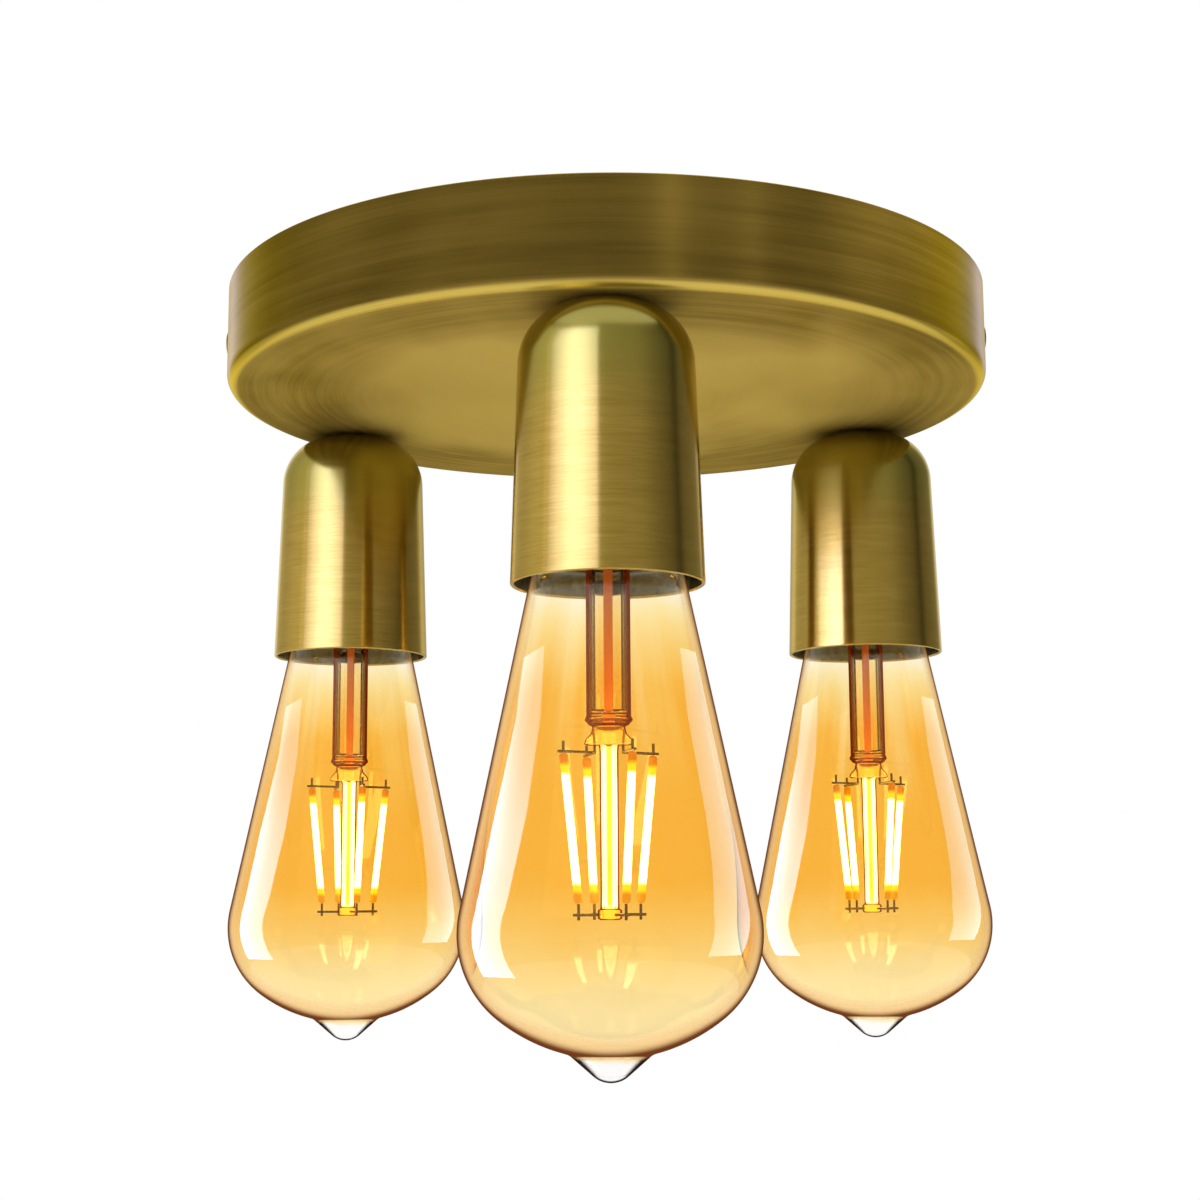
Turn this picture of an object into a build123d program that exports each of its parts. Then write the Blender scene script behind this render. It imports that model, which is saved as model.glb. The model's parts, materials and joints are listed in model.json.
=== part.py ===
from build123d import *
import math
import os

# Semi flush ceiling light: a shallow brass canopy with three domed E27 holders, each
# with an ST64 filament lamp. Millimetres. The ceiling is the plane z = 0 and the light
# hangs down from it, so a lower piece has a smaller z. The front holder is at -Y.

# ---- Fits ----
running_gap = 0.3            # between the lamp and what it turns in
seat_fit = 0.1               # radial play of a thread, pin or tube in its hole
hole_play = 0.25             # radial play of a clearance hole

# ---- Canopy ----
canopy_diameter = 195.0
canopy_height = 25.0
canopy_wall = 1.2
canopy_edge_radius = 3.0

# ---- Ceiling bracket and its screws ----
bracket_width = 22.0
bracket_thickness = 1.5
bracket_flange_height = 15.0
bracket_bend_radius = 2.5
ceiling_slot_spacing = 124.0
ceiling_slot_width = 4.5
ceiling_slot_length = 28.0
cable_hole_diameter = 15.0
side_screw_diameter = 4.0
side_screw_length = 8.0
side_screw_drop = 9.0
side_screw_head_diameter = 7.6
side_screw_head_height = 1.8
tapped_collar_length = 1.5
tapped_collar_wall = 1.2

# ---- Terminal block ----
block_centre_x = 28.0
block_pole_pitch = 12.0
block_length = 38.0
block_width = 18.0
block_height = 13.0
insert_wall = 0.6
insert_length = 14.0
clamp_slot_width = 7.4
clamp_slot_height = 2.4
clamp_screw_diameter = 3.0
clamp_screw_length = 5.6
clamp_screw_spread = 10.0
fixing_screw_diameter = 2.5
fixing_screw_length = 9.0
fixing_screw_head_diameter = 4.6

# ---- Earth point on the bracket ----
earth_x = -24.0
earth_stud_diameter = 4.0
earth_stud_length = 10.0
earth_nut_across_flats = 7.0
earth_nut_height = 3.2
earth_tag_thickness = 0.8
earth_tag_diameter = 8.0
earth_tag_barrel_reach = 9.0
earth_tag_barrel_wall = 0.5

# ---- Wires ----
wire_diameter = 1.8
wire_spacing = 2.6           # between the two wires that go down one holder
block_wire_pitch = 2.3
live_level = 8.0             # how far below the ceiling each layer of wires runs
neutral_level = 12.0
drop_radius = 5.6            # bend from a level run down into a threaded tube
wire_run_share = 0.45        # part of the shorter run that a bend may use

# ---- Holders ----
holder_inset = 15.0          # from the canopy's rim to a holder's axis
front_holder_angle = -90.0
left_holder_angle = 150.0
right_holder_angle = 30.0
tube_diameter = 10.0
tube_bore = 7.8
tube_proud = 4.5             # of the nut, inside the canopy
tube_past_saddle = 0.0
lock_nut_across_flats = 14.0
lock_nut_height = 3.5
lock_washer_diameter = 18.0
lock_washer_thickness = 1.0
cover_length = 62.0
cover_top_diameter = 38.0    # where the wall would meet the flat top
cover_mouth_diameter = 42.0
cover_shoulder_radius = 13.5
cover_wall = 0.9
saddle_collar_length = 6.5
saddle_thickness = 1.5
saddle_width = 12.0
saddle_span = 30.0
saddle_foot = 6.4
saddle_clearance = 7.1       # from the saddle's plate down to the porcelain
saddle_bend_radius = 2.0
saddle_screw_diameter = 3.0
saddle_screw_length = 7.0
saddle_screw_head_diameter = 5.4
saddle_screw_head_height = 1.6
porcelain_diameter = 36.0
porcelain_height = 36.5
porcelain_roof = 10.0
porcelain_chamfer = 1.2
shell_wall = 0.6
shell_length = 25.0
shell_flange_bore = 19.0
contact_strip_width = 5.0
contact_strip_thickness = 0.6
contact_strip_drop = 2.7
contact_landing = 4.4        # flat length under the lamp's contact
contact_tip_length = 1.8     # upturned end of the strip
contact_tip_lift = 1.0
contact_tail = 1.6           # past the rivet
contact_rivet_offset = 6.0
shell_rivet_offset = 11.6
rivet_diameter = 2.2
rivet_head_diameter = 3.4
rivet_head_height = 0.6
terminal_length = 6.0
terminal_width = 5.0
terminal_height = 5.0
terminal_offset = 11.5
terminal_tab_thickness = 0.8
terminal_tab_reach = 4.2
terminal_screw_head_diameter = 4.6
terminal_screw_head_height = 1.4

# ---- E27 screw thread ----
thread_pitch = 3.63
thread_root_diameter = 24.2
thread_depth = 1.05
thread_half_width = 0.9
thread_sink = 0.3            # how deep a ridge is rooted in its wall

# ---- Lamp: every depth is measured down from its contact ----
lamp_diameter = 64.0
lamp_cone_angle = 11.9
lamp_widest_depth = 105.9
lamp_end_drop = 30.5         # from the widest point down to the tip
lamp_belly_radius = 22.4
lamp_end_radius = 38.0
lamp_glass_wall = 0.7
lamp_neck_diameter = 24.4
lamp_neck_overlap = 3.6
lamp_shoulder_radius = 5.3
lamp_shoulder_depth = 32.4
tip_base_diameter = 17.8
tip_slope = 42.0
tip_radius = 5.7
button_diameter = 9.6
button_height = 0.9
button_eyelet_diameter = 2.6
vitrite_depth = 6.0
vitrite_diameter = 22.0
cap_length = 27.0
cap_thread_end = 21.9
cap_thread_turns = 3.6
cap_bore_diameter = 23.0
cap_skirt_diameter = 26.4
board_depth = 13.4
board_diameter = 21.0
board_thickness = 1.2
capacitor_diameter = 6.3
capacitor_height = 5.6
capacitor_offset = 5.0
rectifier_size = 4.6
rectifier_height = 1.8
resistor_diameter = 2.4
resistor_length = 6.5
resistor_offset = 6.2
stem_flare_depth = 23.6
stem_flare_height = 3.0
stem_flare_radius = 5.0
stem_tube_diameter = 9.5
stem_tube_wall = 0.7
stem_tube_end = 62.3
stem_bead_diameter = 10.2
stem_bead_height = 1.6
pinch_height = 4.4
pinch_top_width = 7.0
pinch_bottom_width = 10.6
pinch_thickness = 3.8
pillar_diameter = 4.0
hub_depth = 101.0
hub_diameter = 5.2
hub_height = 2.2
exhaust_diameter = 2.0
exhaust_bore = 0.9
exhaust_top = 19.5
filament_diameter = 1.7
filament_count = 4
filament_turn_angle = 27.0   # of the filaments' square about the lamp's axis
filament_head_gap = 2.0      # from the pinch down to the filaments' heads
filament_foot_gap = 2.3      # from the hub's wires up to the filaments' feet
filament_top_radius = 10.7
filament_bottom_radius = 7.3
support_wire_diameter = 0.6
support_pin_length = 2.2
support_overhang = 1.2
lead_wire_diameter = 0.5
lead_wire_spread = 3.0

# ---- Levels and radii that follow ----
canopy_radius = canopy_diameter / 2
floor_bottom = -canopy_height
floor_top = floor_bottom + canopy_wall
tube_radius = tube_diameter / 2

cover_top = floor_bottom
cover_roof = cover_top - cover_wall
cover_slope = math.atan2((cover_mouth_diameter - cover_top_diameter) / 2, cover_length)
cover_flat_radius = (cover_top_diameter / 2
                     - cover_shoulder_radius * math.tan((math.pi / 2 - cover_slope) / 2))
cover_mouth = cover_top - cover_length

plate_top = cover_roof - saddle_collar_length
plate_bottom = plate_top - saddle_thickness
porcelain_top = plate_bottom - saddle_clearance
porcelain_bottom = porcelain_top - porcelain_height
well_roof = porcelain_top - porcelain_roof

cap_thread_root = thread_root_diameter / 2
cap_thread_crest = cap_thread_root + thread_depth
shell_thread_crest = cap_thread_root + running_gap + 0.05
shell_bore_radius = shell_thread_crest + thread_depth
shell_radius = shell_bore_radius + shell_wall
well_radius = shell_radius + seat_fit * 2

strip_bottom = well_roof - contact_strip_thickness - contact_strip_drop
lamp_contact = strip_bottom - running_gap
cap_bottom = lamp_contact - cap_length
cap_thread_bottom = lamp_contact - cap_thread_end
neck_top = cap_bottom + lamp_neck_overlap
board_bottom = lamp_contact - board_depth - board_thickness

washer_top = floor_top + lock_washer_thickness
lock_nut_top = washer_top + lock_nut_height
tube_top = lock_nut_top + tube_proud
tube_bottom = plate_bottom - tube_past_saddle

block_top = -bracket_thickness
block_bottom = block_top - block_height
clamp_level = block_top - block_height / 2
pole_xs = [block_centre_x + step * block_pole_pitch for step in (-1, 0, 1)]

holder_radius = canopy_radius - holder_inset
holder_spots = {
    side: (holder_radius * math.cos(math.radians(angle)),
           holder_radius * math.sin(math.radians(angle)))
    for side, angle in (("front", front_holder_angle), ("left", left_holder_angle),
                        ("right", right_holder_angle))
}

lamp_length = lamp_widest_depth + lamp_end_drop
filament_top_depth = stem_tube_end + pinch_height + filament_head_gap
filament_bottom_depth = hub_depth + hub_height / 2 - filament_foot_gap


def save(part, label):
    """Write one piece, or one group of like pieces, as its own file."""
    part.label = label
    export_step(part, f"parts/{label}.step")


def place(prototype, label, sides=("front", "left", "right")):
    """Set copies of a piece made on the z axis at the holders named, and write them."""
    with BuildPart() as placed:
        with Locations(*(holder_spots[side] for side in sides)):
            add(prototype)
    save(placed.part, label)


def place_singly(prototype, stem, tail=""):
    """Write one file for each holder's own copy of a piece."""
    for side in holder_spots:
        place(prototype, f"{stem}_{side}{tail}", (side,))


def ring(outer, inner, bottom, top):
    """A plain round tube on the z axis, or a rod where inner is 0."""
    with BuildPart() as tube:
        with BuildSketch(Plane.XY.offset(bottom)):
            Circle(outer)
            if inner:
                Circle(inner, mode=Mode.SUBTRACT)
        extrude(amount=top - bottom)
    return tube.part


def rod_between(start, end, diameter):
    """A round wire or bar from one point to another."""
    with BuildPart() as rod:
        with BuildLine() as axis:
            Line(start, end)
        with BuildSketch(Plane(origin=start, z_dir=axis.line % 0)):
            Circle(diameter / 2)
        sweep(path=axis.line)
    return rod.part


# ---- Canopy: pressed shell, open at the ceiling ----

def make_canopy():
    inner_edge = canopy_edge_radius - canopy_wall
    with BuildPart() as canopy:
        with BuildSketch(Plane.XY.offset(floor_bottom)):
            Circle(canopy_radius)
        extrude(amount=canopy_height)
        fillet(canopy.edges().group_by(Axis.Z)[0], canopy_edge_radius)
        with BuildSketch(Plane.XY.offset(floor_top)):
            Circle(canopy_radius - canopy_wall)
        extrude(amount=canopy_height, mode=Mode.SUBTRACT)
        floor_rim = canopy.faces().filter_by(Plane.XY).sort_by(Axis.Z)[1].outer_wire().edges()
        fillet(floor_rim, inner_edge)
        with BuildSketch(Plane.XY.offset(floor_bottom)):
            with Locations(*holder_spots.values()):
                Circle(tube_radius + hole_play)
        extrude(amount=canopy_height, mode=Mode.SUBTRACT)
        with BuildSketch(Plane.YZ):
            with Locations((0, -side_screw_drop)):
                Circle(side_screw_diameter / 2 + hole_play)
        extrude(amount=canopy_diameter, both=True, mode=Mode.SUBTRACT)
    save(canopy.part, "canopy")


# ---- Ceiling bracket: flat strap, ends turned down to the canopy's wall ----

bracket_reach = math.sqrt((canopy_radius - canopy_wall) ** 2 - (bracket_width / 2) ** 2) - seat_fit
collar_radius = side_screw_diameter / 2 + tapped_collar_wall


def make_bracket():
    with BuildPart() as bracket:
        with BuildSketch(Plane.XZ) as profile:
            with BuildLine():
                outer = FilletPolyline((-bracket_reach, -bracket_flange_height),
                                       (-bracket_reach, 0), (bracket_reach, 0),
                                       (bracket_reach, -bracket_flange_height),
                                       radius=bracket_bend_radius)
                inner_reach = bracket_reach - bracket_thickness
                inner = FilletPolyline((-inner_reach, -bracket_flange_height),
                                       (-inner_reach, -bracket_thickness),
                                       (inner_reach, -bracket_thickness),
                                       (inner_reach, -bracket_flange_height),
                                       radius=bracket_bend_radius - bracket_thickness)
                Line(outer @ 0, inner @ 0)
                Line(outer @ 1, inner @ 1)
            make_face()
        extrude(amount=bracket_width / 2, both=True)
        for facing in (1, -1):
            flange_inside = Plane(origin=(facing * inner_reach, 0, -side_screw_drop),
                                  z_dir=(-facing, 0, 0))
            with BuildSketch(flange_inside):
                Circle(collar_radius)
            extrude(amount=tapped_collar_length)
        with BuildSketch(Plane.YZ):
            with Locations((0, -side_screw_drop)):
                Circle(side_screw_diameter / 2 + seat_fit)
        extrude(amount=canopy_radius, both=True, mode=Mode.SUBTRACT)
        with BuildSketch(Plane.XY):
            Circle(cable_hole_diameter / 2)
            with GridLocations(ceiling_slot_spacing, 0, 2, 1):
                SlotOverall(ceiling_slot_length, ceiling_slot_width)
        extrude(amount=-bracket_thickness, mode=Mode.SUBTRACT)
        with Locations(*((block_centre_x + side * block_pole_pitch / 2, 0) for side in (-1, 1))):
            CounterSinkHole(fixing_screw_diameter / 2 + seat_fit,
                            fixing_screw_head_diameter / 2 + seat_fit,
                            depth=bracket_thickness, counter_sink_angle=90)
        with Locations((earth_x, 0)):
            Hole(earth_stud_diameter / 2 + seat_fit / 2, depth=bracket_thickness)
    save(bracket.part, "mounting_bracket")


def make_side_screws():
    head_seat = canopy_radius
    with BuildPart() as screws:
        for facing in (1, -1):
            seat = Plane(origin=(facing * head_seat, 0, -side_screw_drop), z_dir=(facing, 0, 0))
            with BuildSketch(seat):
                Circle(side_screw_head_diameter / 2)
            extrude(amount=side_screw_head_height)
            with BuildSketch(seat):
                Circle(side_screw_diameter / 2)
            extrude(amount=-side_screw_length)
            head_top = screws.faces().sort_by(Axis.X)[-1 if facing > 0 else 0]
            fillet(head_top.edges(), side_screw_head_height * 0.6)
            with BuildSketch(seat.offset(side_screw_head_height)):
                Rectangle(1.0, side_screw_head_diameter * 0.7)
                Rectangle(side_screw_head_diameter * 0.7, 1.0)
            extrude(amount=-side_screw_head_height * 0.55, mode=Mode.SUBTRACT)
    save(screws.part, "canopy_side_screws")


# ---- Terminal block: moulded body, three brass clamps, screws ----

insert_width = clamp_slot_width + 2 * insert_wall
insert_height = clamp_slot_height + 2 * insert_wall + 2.4
clamp_screw_radius = clamp_screw_diameter / 2


def make_terminal_block():
    with BuildPart() as block:
        with BuildSketch(Plane.XY.offset(block_bottom)):
            with Locations((block_centre_x, 0)):
                RectangleRounded(block_length, block_width, 1.5)
        extrude(amount=block_height)
        chamfer(block.faces().sort_by(Axis.Z)[0].edges(), 0.6)
        with BuildSketch(Plane.XZ.offset(-insert_length / 2)):
            with Locations(*((x, clamp_level) for x in pole_xs)):
                Rectangle(insert_width + 2 * seat_fit, insert_height + 2 * seat_fit)
        extrude(amount=insert_length, mode=Mode.SUBTRACT)
        with BuildSketch(Plane.XZ):
            with Locations(*((x, clamp_level) for x in pole_xs)):
                Rectangle(clamp_slot_width, clamp_slot_height)
        extrude(amount=block_width, both=True, mode=Mode.SUBTRACT)
        with BuildSketch(Plane.XY.offset(block_bottom)):
            with Locations(*((x, y) for x in pole_xs
                             for y in (-clamp_screw_spread / 2, clamp_screw_spread / 2))):
                Circle(clamp_screw_radius + 2 * hole_play)
        extrude(amount=clamp_level - block_bottom, mode=Mode.SUBTRACT)
        with BuildSketch(Plane.XY.offset(block_top)):
            with Locations(*((block_centre_x + side * block_pole_pitch / 2, 0)
                             for side in (-1, 1))):
                Circle(fixing_screw_diameter / 2 + seat_fit)
        extrude(amount=-fixing_screw_length, mode=Mode.SUBTRACT)
        for side in (-1, 1):
            wall_x = block_centre_x + side * block_pole_pitch / 2
            with BuildSketch(Plane.XZ):
                with Locations((wall_x, block_bottom)):
                    Rectangle(1.6, 3.0)
            extrude(amount=block_width, both=True, mode=Mode.SUBTRACT)
    save(block.part, "terminal_block")


def make_terminal_inserts():
    with BuildPart() as inserts:
        with BuildSketch(Plane.XZ.offset(-insert_length / 2)):
            with Locations(*((x, clamp_level) for x in pole_xs)):
                Rectangle(insert_width, insert_height)
                Rectangle(clamp_slot_width, clamp_slot_height, mode=Mode.SUBTRACT)
        extrude(amount=insert_length)
        with BuildSketch(Plane.XY.offset(clamp_level - insert_height)):
            with Locations(*((x, y) for x in pole_xs
                             for y in (-clamp_screw_spread / 2, clamp_screw_spread / 2))):
                Circle(clamp_screw_radius + seat_fit)
        extrude(amount=insert_height, mode=Mode.SUBTRACT)
    save(inserts.part, "terminal_inserts")


def make_clamp_screws():
    tip = clamp_level - wire_diameter / 2 - seat_fit
    foot = tip - clamp_screw_length
    with BuildPart() as screws:
        with BuildSketch(Plane.XY.offset(foot)):
            with Locations(*((x, y) for x in pole_xs
                             for y in (-clamp_screw_spread / 2, clamp_screw_spread / 2))):
                Circle(clamp_screw_radius)
        extrude(amount=clamp_screw_length)
        with BuildSketch(Plane.XY.offset(foot)):
            with Locations(*((x, y) for x in pole_xs
                             for y in (-clamp_screw_spread / 2, clamp_screw_spread / 2))):
                Rectangle(clamp_screw_diameter + 1, 0.6)
        extrude(amount=0.8, mode=Mode.SUBTRACT)
    save(screws.part, "terminal_clamp_screws")


def make_block_fixing_screws():
    head = fixing_screw_head_diameter / 2
    shank = fixing_screw_diameter / 2
    with BuildPart() as screw:
        with BuildSketch(Plane.XZ):
            with BuildLine():
                Polyline((0, 0), (head, 0), (shank, -(head - shank)),
                         (shank, -fixing_screw_length + 1), (0, -fixing_screw_length), (0, 0))
            make_face()
        revolve(axis=Axis.Z)
        with BuildSketch(Plane.XY):
            Rectangle(head * 1.4, 0.6)
            Rectangle(0.6, head * 1.4)
        extrude(amount=-0.6, mode=Mode.SUBTRACT)
    with BuildPart() as screws:
        with Locations(*((block_centre_x + side * block_pole_pitch / 2, 0) for side in (-1, 1))):
            add(screw.part)
    save(screws.part, "block_fixing_screws")


# ---- Earth point: pressed stud, two nuts, ring tag ----

first_nut_bottom = -bracket_thickness - earth_nut_height
tag_bottom = first_nut_bottom - earth_tag_thickness
tag_level = tag_bottom + earth_tag_thickness / 2
barrel_radius = wire_diameter / 2 + seat_fit + earth_tag_barrel_wall


def make_earth_point():
    stud = ring(earth_stud_diameter / 2, 0, -earth_stud_length, 0)
    with BuildPart() as earth_stud:
        with Locations((earth_x, 0)):
            add(stud)
    save(earth_stud.part, "earth_stud")
    with BuildPart() as nuts:
        for bottom in (first_nut_bottom, tag_bottom - earth_nut_height):
            with BuildSketch(Plane.XY.offset(bottom)):
                with Locations((earth_x, 0)):
                    RegularPolygon(earth_nut_across_flats / 2, 6, major_radius=False)
                    Circle(earth_stud_diameter / 2 + seat_fit / 2, mode=Mode.SUBTRACT)
            extrude(amount=earth_nut_height)
    save(nuts.part, "earth_nuts")
    neck = earth_tag_diameter / 2 - 0.5
    with BuildPart() as tag:
        with BuildSketch(Plane.XY.offset(tag_bottom)):
            with Locations((earth_x, 0)):
                Circle(earth_tag_diameter / 2)
            with Locations((earth_x, -neck - 1)):
                Rectangle(2 * barrel_radius, 2.6)
            with Locations((earth_x, 0)):
                Circle(earth_stud_diameter / 2 + seat_fit, mode=Mode.SUBTRACT)
        extrude(amount=earth_tag_thickness)
        barrel_start = Plane(origin=(earth_x, -neck - 1.5, tag_level), z_dir=(0, -1, 0))
        with BuildSketch(barrel_start):
            Circle(barrel_radius)
            Circle(wire_diameter / 2 + seat_fit, mode=Mode.SUBTRACT)
        extrude(amount=earth_tag_barrel_reach - neck - 1.5)
    save(tag.part, "earth_tag")


# ---- Threaded tubes that hold each holder to the canopy ----

def make_tube_hardware():
    tube = ring(tube_radius, tube_bore / 2, tube_bottom, tube_top)
    place(tube, "threaded_tubes")
    with BuildPart() as nut:
        with BuildSketch(Plane.XY.offset(washer_top)):
            RegularPolygon(lock_nut_across_flats / 2, 6, major_radius=False)
            Circle(tube_radius + seat_fit / 2, mode=Mode.SUBTRACT)
        extrude(amount=lock_nut_height)
        with BuildSketch(Plane.XZ):
            corner = lock_nut_across_flats / math.sqrt(3)
            for level, inward in ((washer_top, 1), (lock_nut_top, -1)):
                with BuildLine():
                    Polyline((corner - 0.7, level), (corner + 0.5, level),
                             (corner + 0.5, level + inward * 0.7), (corner - 0.7, level))
                make_face()
        revolve(axis=Axis.Z, mode=Mode.SUBTRACT)
    place(nut.part, "lock_nuts")
    tooth = 1.2
    with BuildPart() as washer:
        with BuildSketch(Plane.XY.offset(floor_top)):
            Circle(lock_washer_diameter / 2)
            with PolarLocations(lock_washer_diameter / 2, 18):
                Rectangle(2 * tooth, tooth, mode=Mode.SUBTRACT)
            Circle(tube_radius + hole_play, mode=Mode.SUBTRACT)
        extrude(amount=lock_washer_thickness)
    place(washer.part, "lock_washers")


# ---- Holder covers: drawn domes with an open mouth ----

def make_covers():
    wall = cover_wall / math.cos(cover_slope)
    top = cover_top_diameter / 2
    mouth = cover_mouth_diameter / 2
    hole = tube_radius + hole_play
    inner_top = top + cover_wall * math.tan(cover_slope) - wall
    with BuildPart() as cover:
        with BuildSketch(Plane.XZ):
            with BuildLine():
                outer = FilletPolyline((hole, cover_top), (top, cover_top), (mouth, cover_mouth),
                                       radius=cover_shoulder_radius)
                inner = FilletPolyline((hole, cover_roof), (inner_top, cover_roof),
                                       (mouth - wall, cover_mouth),
                                       radius=cover_shoulder_radius - cover_wall)
                Line(outer @ 0, inner @ 0)
                Line(outer @ 1, inner @ 1)
            make_face()
        revolve(axis=Axis.Z)
        fillet(cover.edges().group_by(Axis.Z)[0], cover_wall * 0.3)
    place_singly(cover.part, "holder_cover")


# ---- Saddles: bent strap with a threaded collar, screwed to the porcelain ----

foot_centre = saddle_span / 2 - saddle_foot / 2


def make_saddles():
    half = saddle_span / 2
    inside = half - saddle_foot
    wide, tight = saddle_bend_radius, saddle_bend_radius - saddle_thickness
    foot_top = porcelain_top + saddle_thickness
    with BuildPart() as saddle:
        with BuildSketch(Plane.XZ):
            with BuildLine():
                upper = FilletPolyline((-half, foot_top), (-inside, foot_top), (-inside, plate_top),
                                       (inside, plate_top), (inside, foot_top), (half, foot_top),
                                       radius=[tight, wide, wide, tight])
                web = inside - saddle_thickness
                lower = FilletPolyline((-half, porcelain_top), (-web, porcelain_top),
                                       (-web, plate_bottom), (web, plate_bottom),
                                       (web, porcelain_top), (half, porcelain_top),
                                       radius=[wide, tight, tight, wide])
                Line(upper @ 0, lower @ 0)
                Line(upper @ 1, lower @ 1)
            make_face()
        extrude(amount=saddle_width / 2, both=True)
        with BuildSketch(Plane.XY.offset(plate_top)):
            Circle(cover_flat_radius)
        extrude(amount=saddle_collar_length)
        with BuildSketch(Plane.XY.offset(plate_bottom)):
            Circle(tube_radius + seat_fit)
        extrude(amount=cover_roof - plate_bottom, mode=Mode.SUBTRACT)
        with BuildSketch(Plane.XY.offset(porcelain_top)):
            with GridLocations(2 * foot_centre, 0, 2, 1):
                Circle(saddle_screw_diameter / 2 + hole_play)
        extrude(amount=saddle_thickness, mode=Mode.SUBTRACT)
    place(saddle.part, "holder_saddles")


def make_saddle_screws():
    head_bottom = porcelain_top + saddle_thickness
    head_top = head_bottom + saddle_screw_head_height
    with BuildPart() as screws:
        with BuildSketch(Plane.XY.offset(head_bottom)):
            with GridLocations(2 * foot_centre, 0, 2, 1):
                Circle(saddle_screw_head_diameter / 2)
        extrude(amount=saddle_screw_head_height)
        fillet(screws.edges().group_by(Axis.Z)[-1], saddle_screw_head_height * 0.5)
        with BuildSketch(Plane.XY.offset(head_bottom)):
            with GridLocations(2 * foot_centre, 0, 2, 1):
                Circle(saddle_screw_diameter / 2)
        extrude(amount=-saddle_screw_length)
        with BuildSketch(Plane.XY.offset(head_top)):
            with GridLocations(2 * foot_centre, 0, 2, 1):
                Rectangle(0.8, saddle_screw_head_diameter + 1)
        extrude(amount=-saddle_screw_head_height * 0.5, mode=Mode.SUBTRACT)
    place(screws.part, "saddle_screws")


# ---- Porcelain: solid roof, open well for the screw shell ----

def make_porcelain():
    screw_depth = saddle_screw_length - saddle_thickness + 1
    with BuildPart() as body:
        with BuildSketch(Plane.XY.offset(porcelain_bottom)):
            Circle(porcelain_diameter / 2)
        extrude(amount=porcelain_height)
        chamfer(body.edges().group_by(Axis.Z)[0], porcelain_chamfer)
        chamfer(body.edges().group_by(Axis.Z)[-1], porcelain_chamfer)
        with BuildSketch(Plane.XY.offset(porcelain_bottom)):
            Circle(well_radius)
        extrude(amount=porcelain_height - porcelain_roof, mode=Mode.SUBTRACT)
        chamfer(body.edges().group_by(Axis.Z)[0].sort_by(SortBy.RADIUS)[0], porcelain_chamfer)
        with BuildSketch(Plane.XY.offset(porcelain_top)):
            with GridLocations(2 * foot_centre, 0, 2, 1):
                Circle(saddle_screw_diameter / 2 + seat_fit)
        extrude(amount=-screw_depth, mode=Mode.SUBTRACT)
        with BuildSketch(Plane.XY.offset(porcelain_top)):
            with Locations((0, contact_rivet_offset), (0, -shell_rivet_offset)):
                Circle(rivet_diameter / 2 + seat_fit)
        extrude(amount=-porcelain_roof, mode=Mode.SUBTRACT)
    place_singly(body.part, "holder_porcelain")


# ---- E27 thread ridges ----

def thread_ridge(radius, height, turns, bottom):
    """A rounded helical ridge; a negative height makes it stand inward."""
    sink = -math.copysign(thread_sink, height)
    with BuildPart() as ridge:
        with BuildLine() as path:
            Helix(pitch=thread_pitch, height=thread_pitch * turns, radius=radius)
        with BuildSketch(Plane(origin=path.line @ 0, x_dir=(1, 0, 0), z_dir=path.line % 0)):
            with BuildLine():
                ThreePointArc((0, -thread_half_width), (height, 0), (0, thread_half_width))
                Polyline((0, thread_half_width), (sink, thread_half_width),
                         (sink, -thread_half_width), (0, -thread_half_width))
            make_face()
        sweep(path=path.line, is_frenet=True)
    with BuildPart() as lifted:
        with Locations((0, 0, bottom)):
            add(ridge.part)
    return lifted.part


def make_screw_shells():
    shell_bottom = well_roof - shell_length
    first_turn = cap_thread_bottom + thread_pitch / 2
    turns = (well_roof - shell_wall - 2 * thread_half_width - first_turn) / thread_pitch
    with BuildPart() as shell:
        add(ring(shell_radius, shell_bore_radius, shell_bottom, well_roof))
        with BuildSketch(Plane.XY.offset(well_roof - shell_wall)):
            Circle(shell_radius)
            Circle(shell_flange_bore / 2, mode=Mode.SUBTRACT)
            with Locations((0, -shell_rivet_offset)):
                Circle(rivet_diameter / 2 + seat_fit, mode=Mode.SUBTRACT)
        extrude(amount=shell_wall)
        add(thread_ridge(shell_bore_radius, -thread_depth, min(turns, cap_thread_turns),
                         first_turn))
    place(shell.part, "screw_shells")


# ---- Centre contacts, terminals and rivets ----

def make_contacts():
    landing = strip_bottom + contact_strip_thickness / 2
    flat = well_roof - contact_strip_thickness / 2
    half = contact_strip_thickness / 2
    rivet_side = contact_rivet_offset + contact_tail
    bend = contact_rivet_offset - rivet_head_diameter / 2 - half
    skew = half * 2 / 3
    near = contact_landing / 3
    far = near - contact_landing
    tip = far - contact_tip_length
    with BuildPart() as strip:
        with BuildSketch(Plane.YZ):
            with BuildLine():
                upper = Polyline((rivet_side, flat + half), (bend, flat + half),
                                 (near, landing + half), (far, landing + half),
                                 (tip + skew, landing + half + contact_tip_lift))
                lower = Polyline((rivet_side, flat - half), (bend - skew, flat - half),
                                 (near - skew, landing - half), (far - skew, landing - half),
                                 (tip - skew, landing + half + contact_tip_lift - half * 2))
                Line(upper @ 0, lower @ 0)
                Line(upper @ 1, lower @ 1)
            make_face()
        extrude(amount=contact_strip_width / 2, both=True)
        with BuildSketch(Plane.XY.offset(well_roof)):
            with Locations((0, contact_rivet_offset)):
                Circle(rivet_diameter / 2 + seat_fit)
        extrude(amount=-2 * contact_strip_thickness, mode=Mode.SUBTRACT)
    place(strip.part, "centre_contacts")


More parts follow.
